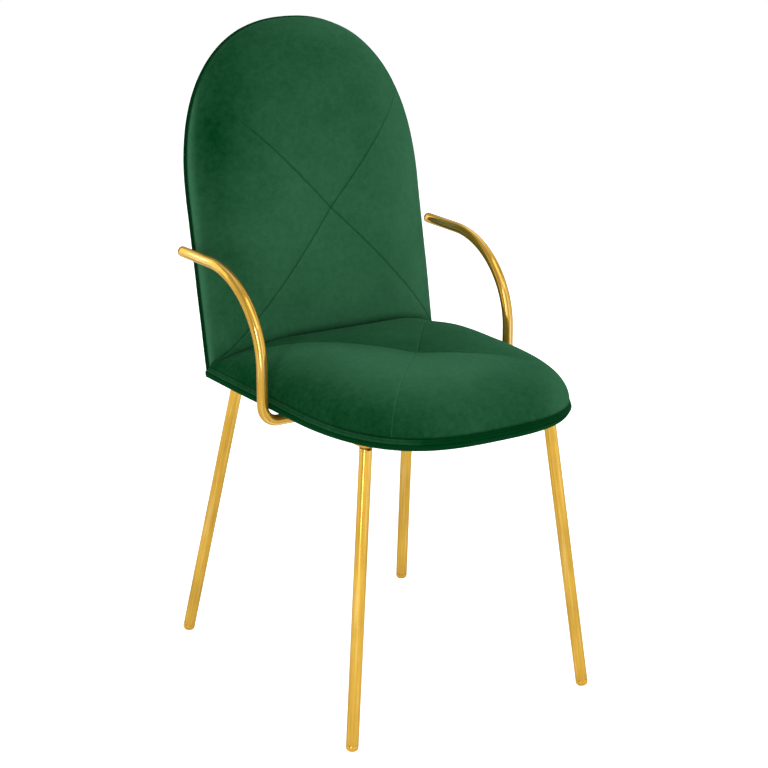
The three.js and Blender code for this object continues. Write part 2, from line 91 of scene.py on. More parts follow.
seat_low, seat_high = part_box("seat_cushion")
back_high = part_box("back_cushion")[1]
border_low, border_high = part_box("seat_border")
CREASE = Vector((0, seat_high.y + MITRE_GAP, seat_low.z))
BORDER_REAR = border_high.y + 1.5 * mm
HALF_WIDTH = seat_high.x + PAD_INSET
SEAT_CROWN = seat_high.z - seat_low.z + 0.8 * QUILT_SWELL
BACK_CROWN = 70 * mm + QUILT_SWELL
SEAT_DIP = 0.17  # share of the crown lost where the seat runs under the back
UNDERSIDE = CREASE.z - border_low.z

SEAT_TO_ROW = np.array(Matrix.Translation(CREASE) @ Matrix.Rotation(math.pi, 4, "Z"))
BACK_TO_ROW = np.array(Matrix.Translation(CREASE) @ Matrix.Rotation(math.pi / 2 - LEAN, 4, "X"))
REAR_TO_ROW = BACK_TO_ROW @ np.array(
    Matrix.Translation((0, 0, -WELT_DEPTH)) @ Matrix.Rotation(math.pi, 4, "Y")
)

# The pads meet where their crowns cross.
seat_meets = SEAT_CROWN * (1 - SEAT_DIP)
SEAT_MITRE = math.atan2(seat_meets, BACK_CROWN / math.cos(LEAN) - seat_meets * math.tan(LEAN))
BACK_MITRE = math.pi / 2 + LEAN - SEAT_MITRE
WELT_MITRE = (math.pi / 2 + LEAN) / 2


@dataclass
class Panel:
    """An arch panel: x across, y from the crease to the rounded end, z out of its pad side."""
    length: float
    straight: float  # how far its sides run straight
    exponent: float  # of the superellipse that rounds its end
    to_row: np.ndarray


@dataclass
class Pad:
    """A crowned pad on a panel."""
    crown: float
    shoulder: float  # how far inward the shoulder rises
    roundness: float  # exponent of the shoulder's superellipse
    inset: float
    mitre: float  # slope of the plane that cuts it at the crease end
    start: float
    crest: float  # radius of the roll into the crease
    dip: float = 0.0  # share of the height lost at the crease
    corner_dip: float = 0.0  # more of it lost towards the pad's rear corners
    corner_reach: float = 1.0


back_length = (back_high.z - CREASE.z) / math.cos(LEAN) + PAD_INSET
SEAT = Panel(CREASE.y - seat_low.y + PAD_INSET, 229 * mm, 2.9, SEAT_TO_ROW)
BACK = Panel(back_length, 245 * mm, 2.32, BACK_TO_ROW)
REAR = Panel(back_length, 245 * mm, 2.32, REAR_TO_ROW)
SEAT_PAD = Pad(
    crown=SEAT_CROWN, shoulder=102 * mm, roundness=2.0, inset=PAD_INSET, mitre=SEAT_MITRE,
    start=MITRE_GAP, crest=16 * mm, dip=SEAT_DIP, corner_dip=0.36, corner_reach=50 * mm,
)
BACK_PAD = Pad(
    crown=BACK_CROWN, shoulder=128 * mm, roundness=1.75, inset=PAD_INSET, mitre=BACK_MITRE,
    start=MITRE_GAP, crest=16 * mm, corner_dip=0.16, corner_reach=30 * mm,
)
REAR_START = -(UNDERSIDE - WELT_DEPTH * math.sin(LEAN)) / math.cos(LEAN)
REAR_PAD = Pad(
    crown=17 * mm, shoulder=46 * mm, roundness=2.0, inset=3 * mm, mitre=math.pi / 2 - LEAN,
    start=REAR_START, crest=5 * mm,
)
DIP_REACH = 70 * mm  # how far from the crease the dip is felt
COVER_SPREAD = 0.014  # extra width of the covers at the rear, as a share
SPREAD_OVER = (-50 * mm, 150 * mm)  # row y between which they widen

# --- curves and noise ---


def ramp(values, low, high):
    """Smooth step from 0 at low to 1 at high."""
    share = np.clip((values - low) / (high - low), 0, 1)
    return share * share * (3 - 2 * share)


def bell(distance, width):
    """1 at no distance, fading to 0 on both sides."""
    return np.exp(-((distance / width) ** 2))


def eased(distance, reach):
    """0 at no distance, rising towards 1 beyond the reach."""
    return 1 - np.exp(-distance / reach)


def unit(vectors):
    """Rows scaled to length 1."""
    return vectors / np.maximum(np.linalg.norm(vectors, axis=1, keepdims=True), 1e-12)


def cross(a, b):
    """Signed area between plan vectors."""
    return a[0] * b[1] - a[1] * b[0]


def run_along(route):
    """Distance from the start of a plan route to each of its points."""
    return np.concatenate([[0], np.cumsum(np.hypot(*np.diff(route, axis=0).T))])


def waves(points, size, seed=0.0):
    """Smooth noise, about -1 to 1, over points; `size` is its grain in metres."""
    shift = Vector((seed, 2 * seed, 3 * seed))
    return np.array([noise.noise(Vector(p) / size + shift) for p in points])


def to_row(points, matrix):
    """Panel points in the row frame, with the covers spread a little toward the rear."""
    row = points @ matrix[:3, :3].T + matrix[:3, 3]
    row[..., 0] *= 1 + COVER_SPREAD * ramp(row[..., 1], *SPREAD_OVER)
    return row


# --- arch outlines ---

def arch_point(panel, inset, turn):
    """Plan points of the rounded end, `inset` inside the widest line; turn runs 0 to pi."""
    power = 2 / panel.exponent
    across, up = np.cos(turn), np.sin(turn)
    x = (HALF_WIDTH - inset) * np.sign(across) * np.abs(across) ** power
    rise = panel.length - panel.straight - inset
    return np.stack([x, panel.straight + rise * np.abs(up) ** power], 1)


def arch_points(panel, inset, spacing):
    """Points of the rounded end, from right to left, evenly spaced on its widest line."""
    turns = np.linspace(0, math.pi, 4001)
    along = run_along(arch_point(panel, 0, turns))
    count = max(8, round(along[-1] / spacing))
    even = np.interp(np.linspace(0, along[-1], count + 1), along, turns)
    return arch_point(panel, inset, even)


def mirrored(points):
    """The same points on the other side, in reverse order."""
    return points[::-1] * (-1, 1)


def arch_outline(panel, inset, start, spacing):
    """Outline from the right-hand end at y = start, round the arch, to the left-hand end."""
    steps = max(2, round((panel.straight - start) / spacing))
    side = np.linspace(start, panel.straight, steps + 1)[:-1]
    right = np.c_[np.full(steps, HALF_WIDTH - inset), side]
    return np.concatenate([right, arch_points(panel, inset, spacing), mirrored(right)])


def closed_outline(panel, inset, rear, corner, spacing):
    """Loop round an arch that a straight line at y = rear closes, with rounded corners."""
    edge = HALF_WIDTH - inset
    turn = np.linspace(-math.pi / 2, 0, 7)
    rounded = np.c_[edge - corner + corner * np.cos(turn), rear + corner + corner * np.sin(turn)]
    side = np.linspace(rear + corner, panel.straight, round(panel.straight / spacing) + 1)[1:-1]
    back = np.linspace(corner - edge, edge - corner, round(2 * HALF_WIDTH / spacing) + 1)[1:-1]
    right = np.concatenate([rounded, np.c_[np.full(len(side), edge), side]])
    return np.concatenate([
        right, arch_points(panel, inset, spacing), mirrored(right),
        np.c_[back, np.full(len(back), rear)],
    ])


# --- pad surface ---

class PadSurface:
    """Maps a pad's flat cloth, unrolled over its shoulders, to the crowned pad and back."""

    def __init__(self, panel, pad):
        self.panel, self.pad = panel, pad
        self.straight, self.rise = panel.straight, panel.length - panel.straight
        turn = np.linspace(0, math.pi / 2, 3000)
        power = 2 / pad.roundness
        self.inward = pad.shoulder * (1 - np.cos(turn).clip(0) ** power)
        self.height = pad.crown * np.sin(turn) ** power
        self.along = run_along(np.stack([self.inward, self.height], 1))
        self.growth = self.along[-1] - pad.shoulder
        self.flat_half = HALF_WIDTH - pad.inset + self.growth
        self.flat_length = panel.length - pad.inset + self.growth

    def family(self, x, y):
        """Inset of the outline that passes through each point."""
        power = self.panel.exponent
        low = np.full(x.shape, -3 * self.growth)
        high = np.full(x.shape, min(HALF_WIDTH, self.rise) - 1e-7)
        round_y = np.maximum(y - self.straight, 0)
        for _ in range(45):  # halvings
            middle = (low + high) / 2
            across, up = np.abs(x) / (HALF_WIDTH - middle), round_y / (self.rise - middle)
            outside = across ** power + up ** power > 1
            high, low = np.where(outside, middle, high), np.where(outside, low, middle)
        return np.where(y <= self.straight, HALF_WIDTH - np.abs(x), (low + high) / 2)

    def rescaled(self, x, y, before, after):
        """Moves points from outline `before` to outline `after` of the same family."""
        half, up = np.maximum(HALF_WIDTH - before, 1e-9), y - self.straight
        new_x = np.where(before == after, x, x / half * (HALF_WIDTH - after))
        new_y = self.straight + up / (self.rise - before) * (self.rise - after)
        return new_x, np.where((y <= self.straight) | (before == after), y, new_y)

    def flatten(self, x, y):
        """Plan point to flat cloth."""
        inset = self.family(x, y)
        inward = inset - self.pad.inset
        along = np.interp(inward, self.inward, self.along)
        on_shoulder = inward < self.pad.shoulder
        flat = np.where(on_shoulder, self.pad.inset - self.growth + along, inset)
        return self.rescaled(x, y, inset, flat)

    def edge_distance(self, u, v):
        """Distance along the cloth from the pad's edge."""
        return self.family(u, v) - self.pad.inset + self.growth

    def dip(self, u):
        """Share of the height lost at the crease end."""
        inward = np.interp(self.flat_half - np.abs(u), self.along, self.inward)
        return self.pad.dip + self.pad.corner_dip * np.exp(-inward / self.pad.corner_reach)

    def crest(self, u):
        """Height of the pad at the crease end, where its crest starts, and the radius there."""
        distance = self.flat_half - np.abs(u)
        height = np.interp(distance, self.along, self.height) * (1 - self.dip(u))
        radius = np.minimum(self.pad.crest, 0.9 * height)
        line = self.pad.start + height / math.tan(self.pad.mitre)
        return height, line, radius

    def crease_line(self, u):
        """Where the cloth ends in the crease."""
        _, line, radius = self.crest(u)
        return line - radius * math.tan(self.pad.mitre / 2)

    def lift(self, u, v):
        """Flat cloth to points on the pad, in the panel's frame."""
        flat = self.family(u, v)
        distance = flat - self.pad.inset + self.growth
        inset = np.where(
            distance >= self.along[-1], flat,
            self.pad.inset + np.interp(distance, self.along, self.inward),
        )
        z = np.interp(distance, self.along, self.height)
        x, y = self.rescaled(u, v, flat, inset)
        height, line, radius = self.crest(u)
        z = z * (1 - self.dip(u) * bell(np.maximum(y - line, 0), DIP_REACH))
        # The cloth beyond the crest rolls down to the mitre plane.
        reach = np.maximum(radius * math.tan(self.pad.mitre / 2), 1e-6)
        roll = self.pad.mitre * np.clip((line + reach - v) / (2 * reach), 0, 1)
        y = np.where(roll > 0, line + reach - radius * np.sin(roll), y)
        z = np.where(roll > 0, height - radius * (1 - np.cos(roll)), z)
        return np.stack([x, y, z], 1)

    def normals(self, u, v):
        """Unit normals at flat points, in the panel's frame."""
        step = 0.2 * mm
        across = self.lift(u + step, v) - self.lift(u - step, v)
        along = self.lift(u, v + step) - self.lift(u, v - step)
        return unit(np.cross(across, along))

    def edge_hit(self, centre, slope, side):
        """Where a straight seam from the crossing meets the pad's edge, in plan."""
        low, high = 0.0, HALF_WIDTH
        for _ in range(50):  # halvings
            middle = (low + high) / 2
            inset = self.family(np.array([middle]), np.array([centre[1] + slope * middle]))[0]
            low, high = (middle, high) if inset > self.pad.inset else (low, middle)
        return side * low, centre[1] + slope * low


def seam_route(surface, start, end, samples=600):
    """Flat route of a seam that is straight in plan, closer sampled towards the pad's edge."""
    share = 1 - (1 - np.linspace(0, 1, samples)) ** 3
    x = start[0] + (end[0] - start[0]) * share
    y = start[1] + (end[1] - start[1]) * share
    return np.stack(surface.flatten(x, y), 1)


def resampled(route, spacing):
    along = run_along(route)
    places = np.linspace(0, along[-1], max(2, round(along[-1] / spacing)) + 1)
    return np.stack([np.interp(places, along, route[:, k]) for k in (0, 1)], 1)


FAR = 1e9


@dataclass
class Nearness:
    """For each point: distance to the nearest route, its number, the side and the run along it."""
    distance: np.ndarray
    route: np.ndarray
    side: np.ndarray
    run: np.ndarray


def nearness(points, routes):
    """How each point stands to the nearest of several routes."""
    count = len(points)
    near = Nearness(np.full(count, FAR), np.zeros(count, int), np.zeros(count), np.zeros(count))
    for index, route in enumerate(routes):
        run = 0.0
        for a, b in zip(route[:-1], route[1:]):
            leg = b - a
            length = math.hypot(*leg)
            offset = points - a
            share = np.clip(offset @ leg / max(length * length, 1e-18), 0, 1)
            distance = np.hypot(*(offset - share[:, None] * leg).T)
            closer = distance < near.distance
            near.distance = np.where(closer, distance, near.distance)
            near.route = np.where(closer, index, near.route)
            near.side = np.where(closer, cross(leg, offset.T), near.side)
            near.run = np.where(closer, run + share * length, near.run)
            run += length
    return near


# --- sheets ---

@dataclass
class Sheet:
    """A triangulated flat cloth: its corner loop, its seams and what each vertex is."""
    flat: np.ndarray
    faces: np.ndarray
    outline: list  # vertex loop along the edge, right corner to left corner
    crease: list  # vertices along the crease, left to right, without corners
    on_seam: np.ndarray

    def held(self):
        """Marks the vertices on the seams, the edge and the crease, which don't move."""
        held = self.on_seam.copy()
        held[self.outline] = True
        held[self.crease] = True
        return held


def hexagonal(u_range, v_range, spacing):
    rows = np.arange(*v_range, spacing * math.sqrt(3) / 2)
    grid_u, grid_v = np.meshgrid(np.arange(*u_range, spacing), rows)
    grid_u[1::2] += spacing / 2
    return np.stack([grid_u.ravel(), grid_v.ravel()], 1)


def closed_edges(count):
    """Edges of a closed loop over the first `count` points."""
    return [(i, (i + 1) % count) for i in range(count)]


def joined_up(points, edges):
    """Triangles inside a loop of edges: places, faces, and the point each place came from."""
    places, _, faces, sources, _, _ = delaunay_2d_cdt(
        [Vector(p) for p in points], edges, [], 1, 1e-9, True,
    )
    return (
        np.array([tuple(p) for p in places]), np.array([tuple(f) for f in faces]),
        np.array([s[0] if s else -1 for s in sources]),
    )


def rows_beside(routes, walls, rows):
    """Points in rows at set distances on both sides of the seams, clear of the walls."""
    beside = []
    for row in rows:
        for route in routes:
            along = unit(np.gradient(route, axis=0))
            for side in (-1, 1):
                line = route + side * row * np.stack([-along[:, 1], along[:, 0]], 1)
                beside.append(line[nearness(line, walls).distance > 0.85 * row])
    return beside


GRID_CLEAR = 0.6  # of the spacing, between the grid and the lines in it


def grid_inside(surface, loop, routes, spacing, reserved):
    """Even grid over the cloth, clear of its edge loop, the seams and the rows beside them."""
    clear = GRID_CLEAR * spacing
    half = surface.flat_half
    grid = hexagonal((-half, half), (min(0, surface.pad.start), surface.flat_length), spacing)
    inside = surface.edge_distance(*grid.T) > clear
    inside &= grid[:, 1] > surface.crease_line(grid[:, 0]) + clear
    grid = grid[inside]
    grid = grid[nearness(grid, [loop]).distance > clear]
    if routes:
        grid = grid[nearness(grid, routes).distance > reserved + clear]
    return grid


def triangulated(surface, seams, spacing, rows=()):
    """Even triangles over a pad's flat cloth whose edges follow the outline and the seams."""
    pad, half = surface.pad, surface.flat_half
    outline = arch_outline(surface.panel, pad.inset - surface.growth, pad.start, spacing)
    crease_u = np.linspace(-half, half, round(2.2 * half / spacing))[1:-1]
    crease = np.stack([crease_u, surface.crease_line(crease_u)], 1)
    points = [outline, crease]
    rim = count = len(outline) + len(crease)
    edges = closed_edges(rim)
    on_seam = [False] * rim
    routes = [resampled(route, spacing) for route in seams]
    if routes:
        points.append(routes[0][:1])
        on_seam.append(True)
        count += 1
    for route in routes:
        inner = route[1:-1]
        points.append(inner)
        on_seam += [True] * len(inner)
        stops = [rim, *range(count, count + len(inner))]
        end = int(np.argmin(np.hypot(*(outline - route[-1]).T)))
        on_seam[end] = True
        edges += list(zip(stops, [*stops[1:], end]))
        count += len(inner)
    loop = np.concatenate([outline, crease, outline[:1]])
    points += rows_beside(routes, [loop, *routes], rows)
    points.append(grid_inside(surface, loop, routes, spacing, max(rows, default=0)))
    flat = np.concatenate(points)
    on_seam = np.array(on_seam + [False] * (len(flat) - len(on_seam)))
    places, faces, source = joined_up(flat, edges)
    order = {int(s): i for i, s in enumerate(source)}
    rim_order = [order[i] for i in range(rim)]
    return Sheet(
        places, faces, rim_order[:len(outline)], rim_order[len(outline):],
        np.where(source >= 0, on_seam[source], False),
    )


# --- cloth ---

CLOTH = {
    "quality": 6, "mass": 0.3, "tension_stiffness": 30, "compression_stiffness": 30,
    "shear_stiffness": 10, "bending_stiffness": 2, "use_pressure": True,
}
CLOTH_FRAMES = 20
CLOTH_MESH = 7 * mm  # size of the simulated sheet's triangles
SMOOTHING_ROUNDS = 8


def simulated(points, faces, pinned, pressure):
    """Swells a sheet between its pinned vertices with cloth simulation; returns the moves."""
    mesh = bpy.data.meshes.new("swelling")
    mesh.from_pydata(points.tolist(), [], faces.tolist())
    piece = bpy.data.objects.new("swelling", mesh)
    scene.collection.objects.link(piece)
    group = piece.vertex_groups.new(name="pins")
    group.add([int(i) for i in np.flatnonzero(pinned)], 1, "REPLACE")
    cloth = piece.modifiers.new("cloth", "CLOTH")
    for key, value in CLOTH.items():
        setattr(cloth.settings, key, value)
    cloth.settings.uniform_pressure_force = pressure
    cloth.settings.vertex_group_mass = "pins"
    cloth.settings.effector_weights.gravity = 0
    cloth.collision_settings.use_collision = False
    cloth.point_cache.frame_start = 1
    cloth.point_cache.frame_end = CLOTH_FRAMES
    for step in range(1, CLOTH_FRAMES + 1):
        scene.frame_set(step)
    evaluated = piece.evaluated_get(bpy.context.evaluated_depsgraph_get())
    swollen = np.zeros(len(points) * 3)
    evaluated.data.vertices.foreach_get("co", swollen)
    bpy.data.objects.remove(piece)
    bpy.data.meshes.remove(mesh)
    scene.frame_set(1)
    return swollen.reshape(-1, 3) - points


def smoothed(values, faces, held):
    """Evens out values over a mesh, leaving the held vertices as they are."""
    pairs = np.concatenate([faces[:, [0, 1]], faces[:, [1, 2]], faces[:, [2, 0]]])
    here, there = np.concatenate([pairs, pairs[:, ::-1]]).T
    share = np.bincount(here, minlength=len(values)).clip(1)
    for _ in range(SMOOTHING_ROUNDS):
        total = np.stack([np.bincount(here, column[there], len(values)) for column in values.T], 1)
        values = np.where(held[:, None], values, total / share[:, None])
    return values


def carried_over(coarse, moves, flat):
    """Moves of a coarse sheet, at the places of a finer one."""
    tree = BVHTree.FromPolygons([(*p, 0) for p in coarse.flat], coarse.faces.tolist())
    result = np.zeros((len(flat), 3))
    for i, place in enumerate(flat):
        spot, _, index, _ = tree.find_nearest((*place, 0))
        a, b, c = coarse.flat[coarse.faces[index]]
        at = np.array(spot[:2]) - a
        whole = cross(b - a, c - a)
        weight_b = cross(at, c - a) / whole
        weight_c = cross(b - a, at) / whole
        at_a, at_b, at_c = moves[coarse.faces[index]]
        result[i] = at_a * (1 - weight_b - weight_c) + at_b * weight_b + at_c * weight_c
    return result


def cloth_moves(surface, fine, pressure, most, seams=()):
    """How the cloth swells between its seams and its edge, capped at `most`."""
    coarse = triangulated(surface, seams, CLOTH_MESH)
    moves = simulated(surface.lift(*coarse.flat.T), coarse.faces, coarse.held(), pressure)
    size = np.linalg.norm(moves, axis=1, keepdims=True).clip(1e-9)
    moves = moves / size * (most * np.tanh(size / most))
    return smoothed(carried_over(coarse, moves, fine.flat), fine.faces, fine.held())


# --- mesh helpers ---

def add_attribute(mesh, name, domain, values):
    """A number or vector for each point or corner, for the materials to read."""
    values = np.asarray(values, np.float32)
    kind, key = ("FLOAT", "value") if values.ndim == 1 else ("FLOAT_VECTOR", "vector")
    mesh.attributes.new(name, kind, domain).data.foreach_set(key, values.ravel())


def clean(mesh):
    """Faces outward, long closing faces cut into triangles, smooth shading."""
    tidy = bmesh.new()
    tidy.from_mesh(mesh)
    bmesh.ops.triangulate(tidy, faces=[f for f in tidy.faces if len(f.verts) > 4])
    bmesh.ops.recalc_face_normals(tidy, faces=tidy.faces)
    tidy.to_mesh(mesh)
    tidy.free()
    mesh.polygons.foreach_set("use_smooth", [True] * len(mesh.polygons))
    mesh.update()


def make_object(name, mesh, material):
    """A mesh with its material, linked to the scene."""
    piece = bpy.data.objects.new(name, mesh)
    scene.collection.objects.link(piece)
    mesh.materials.append(material)
    return piece


def make_piece(name, node, verts, faces, material):
    """A finished piece of the chair that stands for a CAD node."""
    mesh = bpy.data.meshes.new(name)
    mesh.from_pydata(np.asarray(verts).tolist(), [], faces)
    clean(mesh)
    piece = make_object(name, mesh, material)
    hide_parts(node)
    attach(piece, "root")
    return piece


def band(here, there):
    """Faces between two closed loops of vertices."""
    return list(zip(here, [*here[1:], here[0]], [*there[1:], there[0]], there))


def loft(name, node, sections, ring, material):
    """A piece skinned over closed sections; `ring` joins the last to the first."""
    count, width, _ = sections.shape
    loops = np.arange(count * width).reshape(count, width).tolist()
    faces = []
    for here, there in zip(loops, [*loops[1:], loops[0]] if ring else loops[1:]):
        faces += band(here, there)
    if not ring:
        faces += [tuple(reversed(loops[0])), tuple(loops[-1])]
    return make_piece(name, node, sections.reshape(-1, 3), faces, material)


# --- node helpers ---

class Nodes:
    """The nodes of a material or world, with short ways to add and join them."""

    def __init__(self, owner):
        owner.use_nodes = True
        self.owner, self.tree = owner, owner.node_tree

    def join(self, value, socket):
        """Links a socket to this one, or sets its number or colour."""
        if isinstance(value, bpy.types.NodeSocket):
            self.tree.links.new(value, socket)
        else:
            socket.default_value = (*value, 1) if socket.type == "RGBA" else value

    def add(self, kind, output, inputs=None, **settings):
        """A node with its settings and inputs; returns one of its outputs."""
        made = self.tree.nodes.new(f"ShaderNode{kind}")
        for key, value in settings.items():
            setattr(made, key, value)
        for key, value in (inputs or {}).items():
            self.join(value, made.inputs[key])
        return made.outputs[output]

    def place(self, stretch=None):
        """Object coordinates, scaled along each axis."""
        place = self.add("TexCoord", "Object")
        if stretch is None:
            return place
        return self.add("Mapping", "Vector", {"Vector": place, "Scale": stretch})

    def noise(self, vector, scale, detail, roughness):
        """Noise about 0.5, `scale` being its waves in a metre."""
        inputs = {"Vector": vector, "Scale": scale, "Detail": detail, "Roughness": roughness}
        return self.add("TexNoise", "Fac", inputs)

    def math(self, operation, a, b):
        return self.add("Math", 0, {0: a, 1: b}, operation=operation)

    def spread(self, value, low, high, to_low=0.0, to_high=1.0):
        """A value's range from low to high, carried to another and held inside it."""
        ends = {"From Min": low, "From Max": high, "To Min": to_low, "To Max": to_high}
        return self.add("MapRange", 0, {"Value": value, **ends})

    def mix(self, factor, a, b, blend="MIX"):
        return self.add("Mix", 2, {0: factor, 6: a, 7: b}, data_type="RGBA", blend_type=blend)

    def attribute(self, name, output="Fac"):
        return self.add("Attribute", output, attribute_name=name)

    def bump(self, height, strength, distance, **more):
        """Normals raised by a height, on top of other bumps if given as Normal."""
        inputs = {"Height": height, "Strength": strength, "Distance": distance, **more}
        return self.add("Bump", "Normal", inputs)

    def set(self, **values):
        """Sets or links the shader's sockets."""
        for key, value in values.items():
            self.join(value, self.tree.nodes["Principled BSDF"].inputs[key.replace("_", " ")])


# --- materials ---

VELVET_SHADE = (0.0004, 0.019, 0.0040)  # lightness -1: painted shade in folds, seams and crevices
VELVET_DEEP = (0.0008, 0.040, 0.0090)  # lightness 0: deep green, with the least painted light
VELVET_LIT = (0.0420, 0.153, 0.0765)  # lightness 1.4: paler, painted light and sheen
VELVET_SHEEN = (0.25, 0.90, 0.45)
BRASS_GOLD = ((0.43, 0.246, 0.024), (0.52, 0.304, 0.034))
BRASS_HIGHLIGHT = (0.80, 0.62, 0.28)  # painted highlight streaks
BRASS_DARK_REFLECTION = (0.30, 0.135, 0.018)  # painted dark reflections between them


def velvet_material(name, even_lightness=None, sheen=0.06):
    """Cut-pile velvet with fine mottling; its colour carries painted light, sheen and shade, from
    painted shade in folds, through deep green, to pale painted light and sheen.

    A piece without an even level holds its painted light and shade in an attribute, and the painted
    shade of its seams and of the crevice at its edge in `seam`.
    """
    nodes = Nodes(bpy.data.materials.new(name))
    place = nodes.place()
    broad = nodes.noise(place, 17.0, 4.0, 0.6)
    mottle = nodes.noise(place, 120.0, 4.0, 0.6)
    pile = nodes.noise(place, 950.0, 2.0, 0.6)
    cloudy = nodes.spread(broad, 0.3, 0.7, -0.09, 0.09)
    uneven = nodes.math("ADD", cloudy, nodes.spread(mottle, 0.3, 0.7, -0.10, 0.10))
    lightness = nodes.math("ADD", uneven, nodes.attribute("light_and_shade") if even_lightness is None else even_lightness)
    # Painted light and shade: from painted shade in folds, through deep green, to painted light and
    # sheen.
    colour = nodes.mix(nodes.spread(lightness, -1.0, 0.0), VELVET_SHADE, VELVET_DEEP)
    colour = nodes.mix(nodes.spread(lightness, 0.0, 1.4), colour, VELVET_LIT)
    colour = nodes.mix(1.0, colour, nodes.spread(pile, 0.3, 0.7, 0.88, 1.08), "MULTIPLY")
    # Painted shade in the seam grooves and in the crevice at the pad's edge.
    if even_lightness is None:
        colour = nodes.mix(nodes.attribute("seam"), colour, VELVET_SHADE)
    nodes.set(
        Base_Color=colour, Roughness=0.85, Specular_IOR_Level=0.0,
        Sheen_Weight=sheen, Sheen_Roughness=0.4, Sheen_Tint=VELVET_SHEEN,
        Normal=nodes.bump(mottle, 0.10, 0.8 * mm, Normal=nodes.bump(pile, 0.2, 0.35 * mm)),
    )
    return nodes.owner


def brass_material(name, roughness, metallic, relief, pale):
    """Lacquered brass tube: warm gold with polishing streaks along it in its roughness and bump,
    and in its colour painted highlight streaks with painted dark reflections beside them.

    `drawn` holds the place round the tube and, much shortened, along it.
    """
    nodes = Nodes(bpy.data.materials.new(name))
    streak = nodes.noise(nodes.attribute("drawn", "Vector"), 280.0, 4.0, 0.6)
    cloud = nodes.noise(nodes.place(), 14.0, 3.0, 0.5)
    gold = nodes.mix(nodes.spread(cloud, 0.35, 0.65), *BRASS_GOLD)
    # Painted highlight streaks, and painted dark reflections beside them, as strong as the last
    # argument asks.
    gold = nodes.mix(nodes.spread(streak, 0.45, 0.36, 0.0, pale), gold, BRASS_HIGHLIGHT)
    dark_reflection = nodes.spread(streak, 0.50, 0.66, 0.0, 0.3 + 0.5 * pale)
    nodes.set(
        Base_Color=nodes.mix(dark_reflection, gold, BRASS_DARK_REFLECTION),
        Metallic=metallic, Specular_IOR_Level=0.0, Specular_Tint=(0.55, 0.45, 0.30),
        Roughness=nodes.spread(streak, 0.3, 0.7, roughness * 0.75, roughness * 1.25),
        Coat_Weight=0.25, Coat_Roughness=0.08,
        Normal=nodes.bump(streak, relief, 0.2 * mm),
    )
    return nodes.owner


def grained_material(name, noise, colours, upper, bump, stretch=None, **values):
    """A material whose colour runs from one colour to the other with a fine grain.

    `noise` is the grain's scale, detail and roughness, and `upper` where it reaches the second
    colour. A pair of numbers is a roughness that follows the grain.
    """
    nodes = Nodes(bpy.data.materials.new(name))
    grain = nodes.noise(nodes.place(stretch), *noise)
    if isinstance(values["Roughness"], tuple):
        values["Roughness"] = nodes.spread(grain, 0.3, 0.7, *values["Roughness"])
    nodes.set(
        Base_Color=nodes.mix(nodes.spread(grain, 0.35, upper), *colours),
        Normal=nodes.bump(grain, *bump), **values,
    )
    return nodes.owner


def metal_material(name, colour, roughness):
    """Plated or bare steel."""
    return grained_material(
        name, (240.0, 4.0, 0.65), (tuple(0.82 * c for c in colour), colour), 0.65, (0.1, 0.1 * mm),
        Metallic=1.0, Roughness=(0.8 * roughness, 1.25 * roughness),
    )


VELVET = velvet_material("velvet", 0.75)
WELT_VELVET = velvet_material("welt_velvet", sheen=0.15)
# A copy of the velvet in painted shade, for the border in the shade of the pad.
SHADED_VELVET = velvet_material("shaded_velvet", -0.1, sheen=0.1)
QUILTED_VELVET = velvet_material("quilted_velvet")
LEG_BRASS = brass_material("leg_brass", 0.08, 0.85, 0.004, 0.2)
ARM_BRASS = brass_material("arm_brass", 0.13, 0.6, 0.12, 0.9)
STEEL = metal_material("steel", (0.42, 0.43, 0.44), 0.42)
GOLD_PLATE = metal_material("gold_plate", (0.42, 0.23, 0.05), 0.35)
ZINC = metal_material("zinc", (0.68, 0.69, 0.70), 0.3)
PLYWOOD = grained_material(
    "plywood", (130.0, 5.0, 0.6), ((0.60, 0.42, 0.24), (0.40, 0.25, 0.12)), 0.68,
    (0.15, 0.2 * mm), stretch=(1, 0.08, 1), Roughness=0.65,
)
FELT = grained_material(
    "felt", (420.0, 4.0, 0.7), ((0.006, 0.006, 0.007), (0.022, 0.022, 0.023)), 0.65,
    (0.4, 0.4 * mm), Roughness=0.95, Specular_IOR_Level=0.1,
)

# By the first of these words in a CAD node's name.
CAD_MATERIALS = {
    "plate": GOLD_PLATE, "screw": ZINC, "back_angle": STEEL, "board": PLYWOOD,
    "leg": LEG_BRASS, "foot_glide": LEG_BRASS, "arm": ARM_BRASS, "dust_cover": FELT, "": VELVET,
}
for node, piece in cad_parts.items():
    material = next(m for word, m in CAD_MATERIALS.items() if word in node)
    for slot in piece.material_slots:
        slot.material = material

# --- pads ---

PAD_PRESSURE = 4
PAD_SWELL = 6 * mm  # the most that filling pushes the cloth out
QUILT_MESH = 3 * mm  # size of its triangles
SEAM_ROWS = (0.9 * mm, 2.0 * mm, 3.6 * mm)  # rows of points beside a seam
QUILT_REACH = 36 * mm  # how far round the crossing the cloth is drawn in
GROOVE_DEPTH, GROOVE_WIDTH = 1.1 * mm, 1.3 * mm
PUCKER_DEPTH, PUCKER_PITCH, PUCKER_REACH = 0.22 * mm, 2.1 * mm, 7 * mm
SEAM_FADES = (0.45, 0.85)  # shares of a seam's length between which it fades


@dataclass
class Quilting:
    """Two seams that cross, as four that run out from the crossing."""
    crossing: tuple  # in plan
    slopes: tuple  # of the upper right and the upper left seam
    fades: tuple  # how much of each seam is left at its outer end
    shade: float  # painted shade in the seam grooves
    lift: float  # painted highlight along a seam

    def routes(self, surface):
        """Flat routes of the four seams, anticlockwise from the lower right."""
        corner, start = HALF_WIDTH - PAD_INSET, surface.pad.start
        right, left = self.slopes
        ends = [
            (corner, start), surface.edge_hit(self.crossing, right, 1),
            surface.edge_hit(self.crossing, left, -1), (-corner, start),
        ]
        return [seam_route(surface, self.crossing, end) for end in ends]


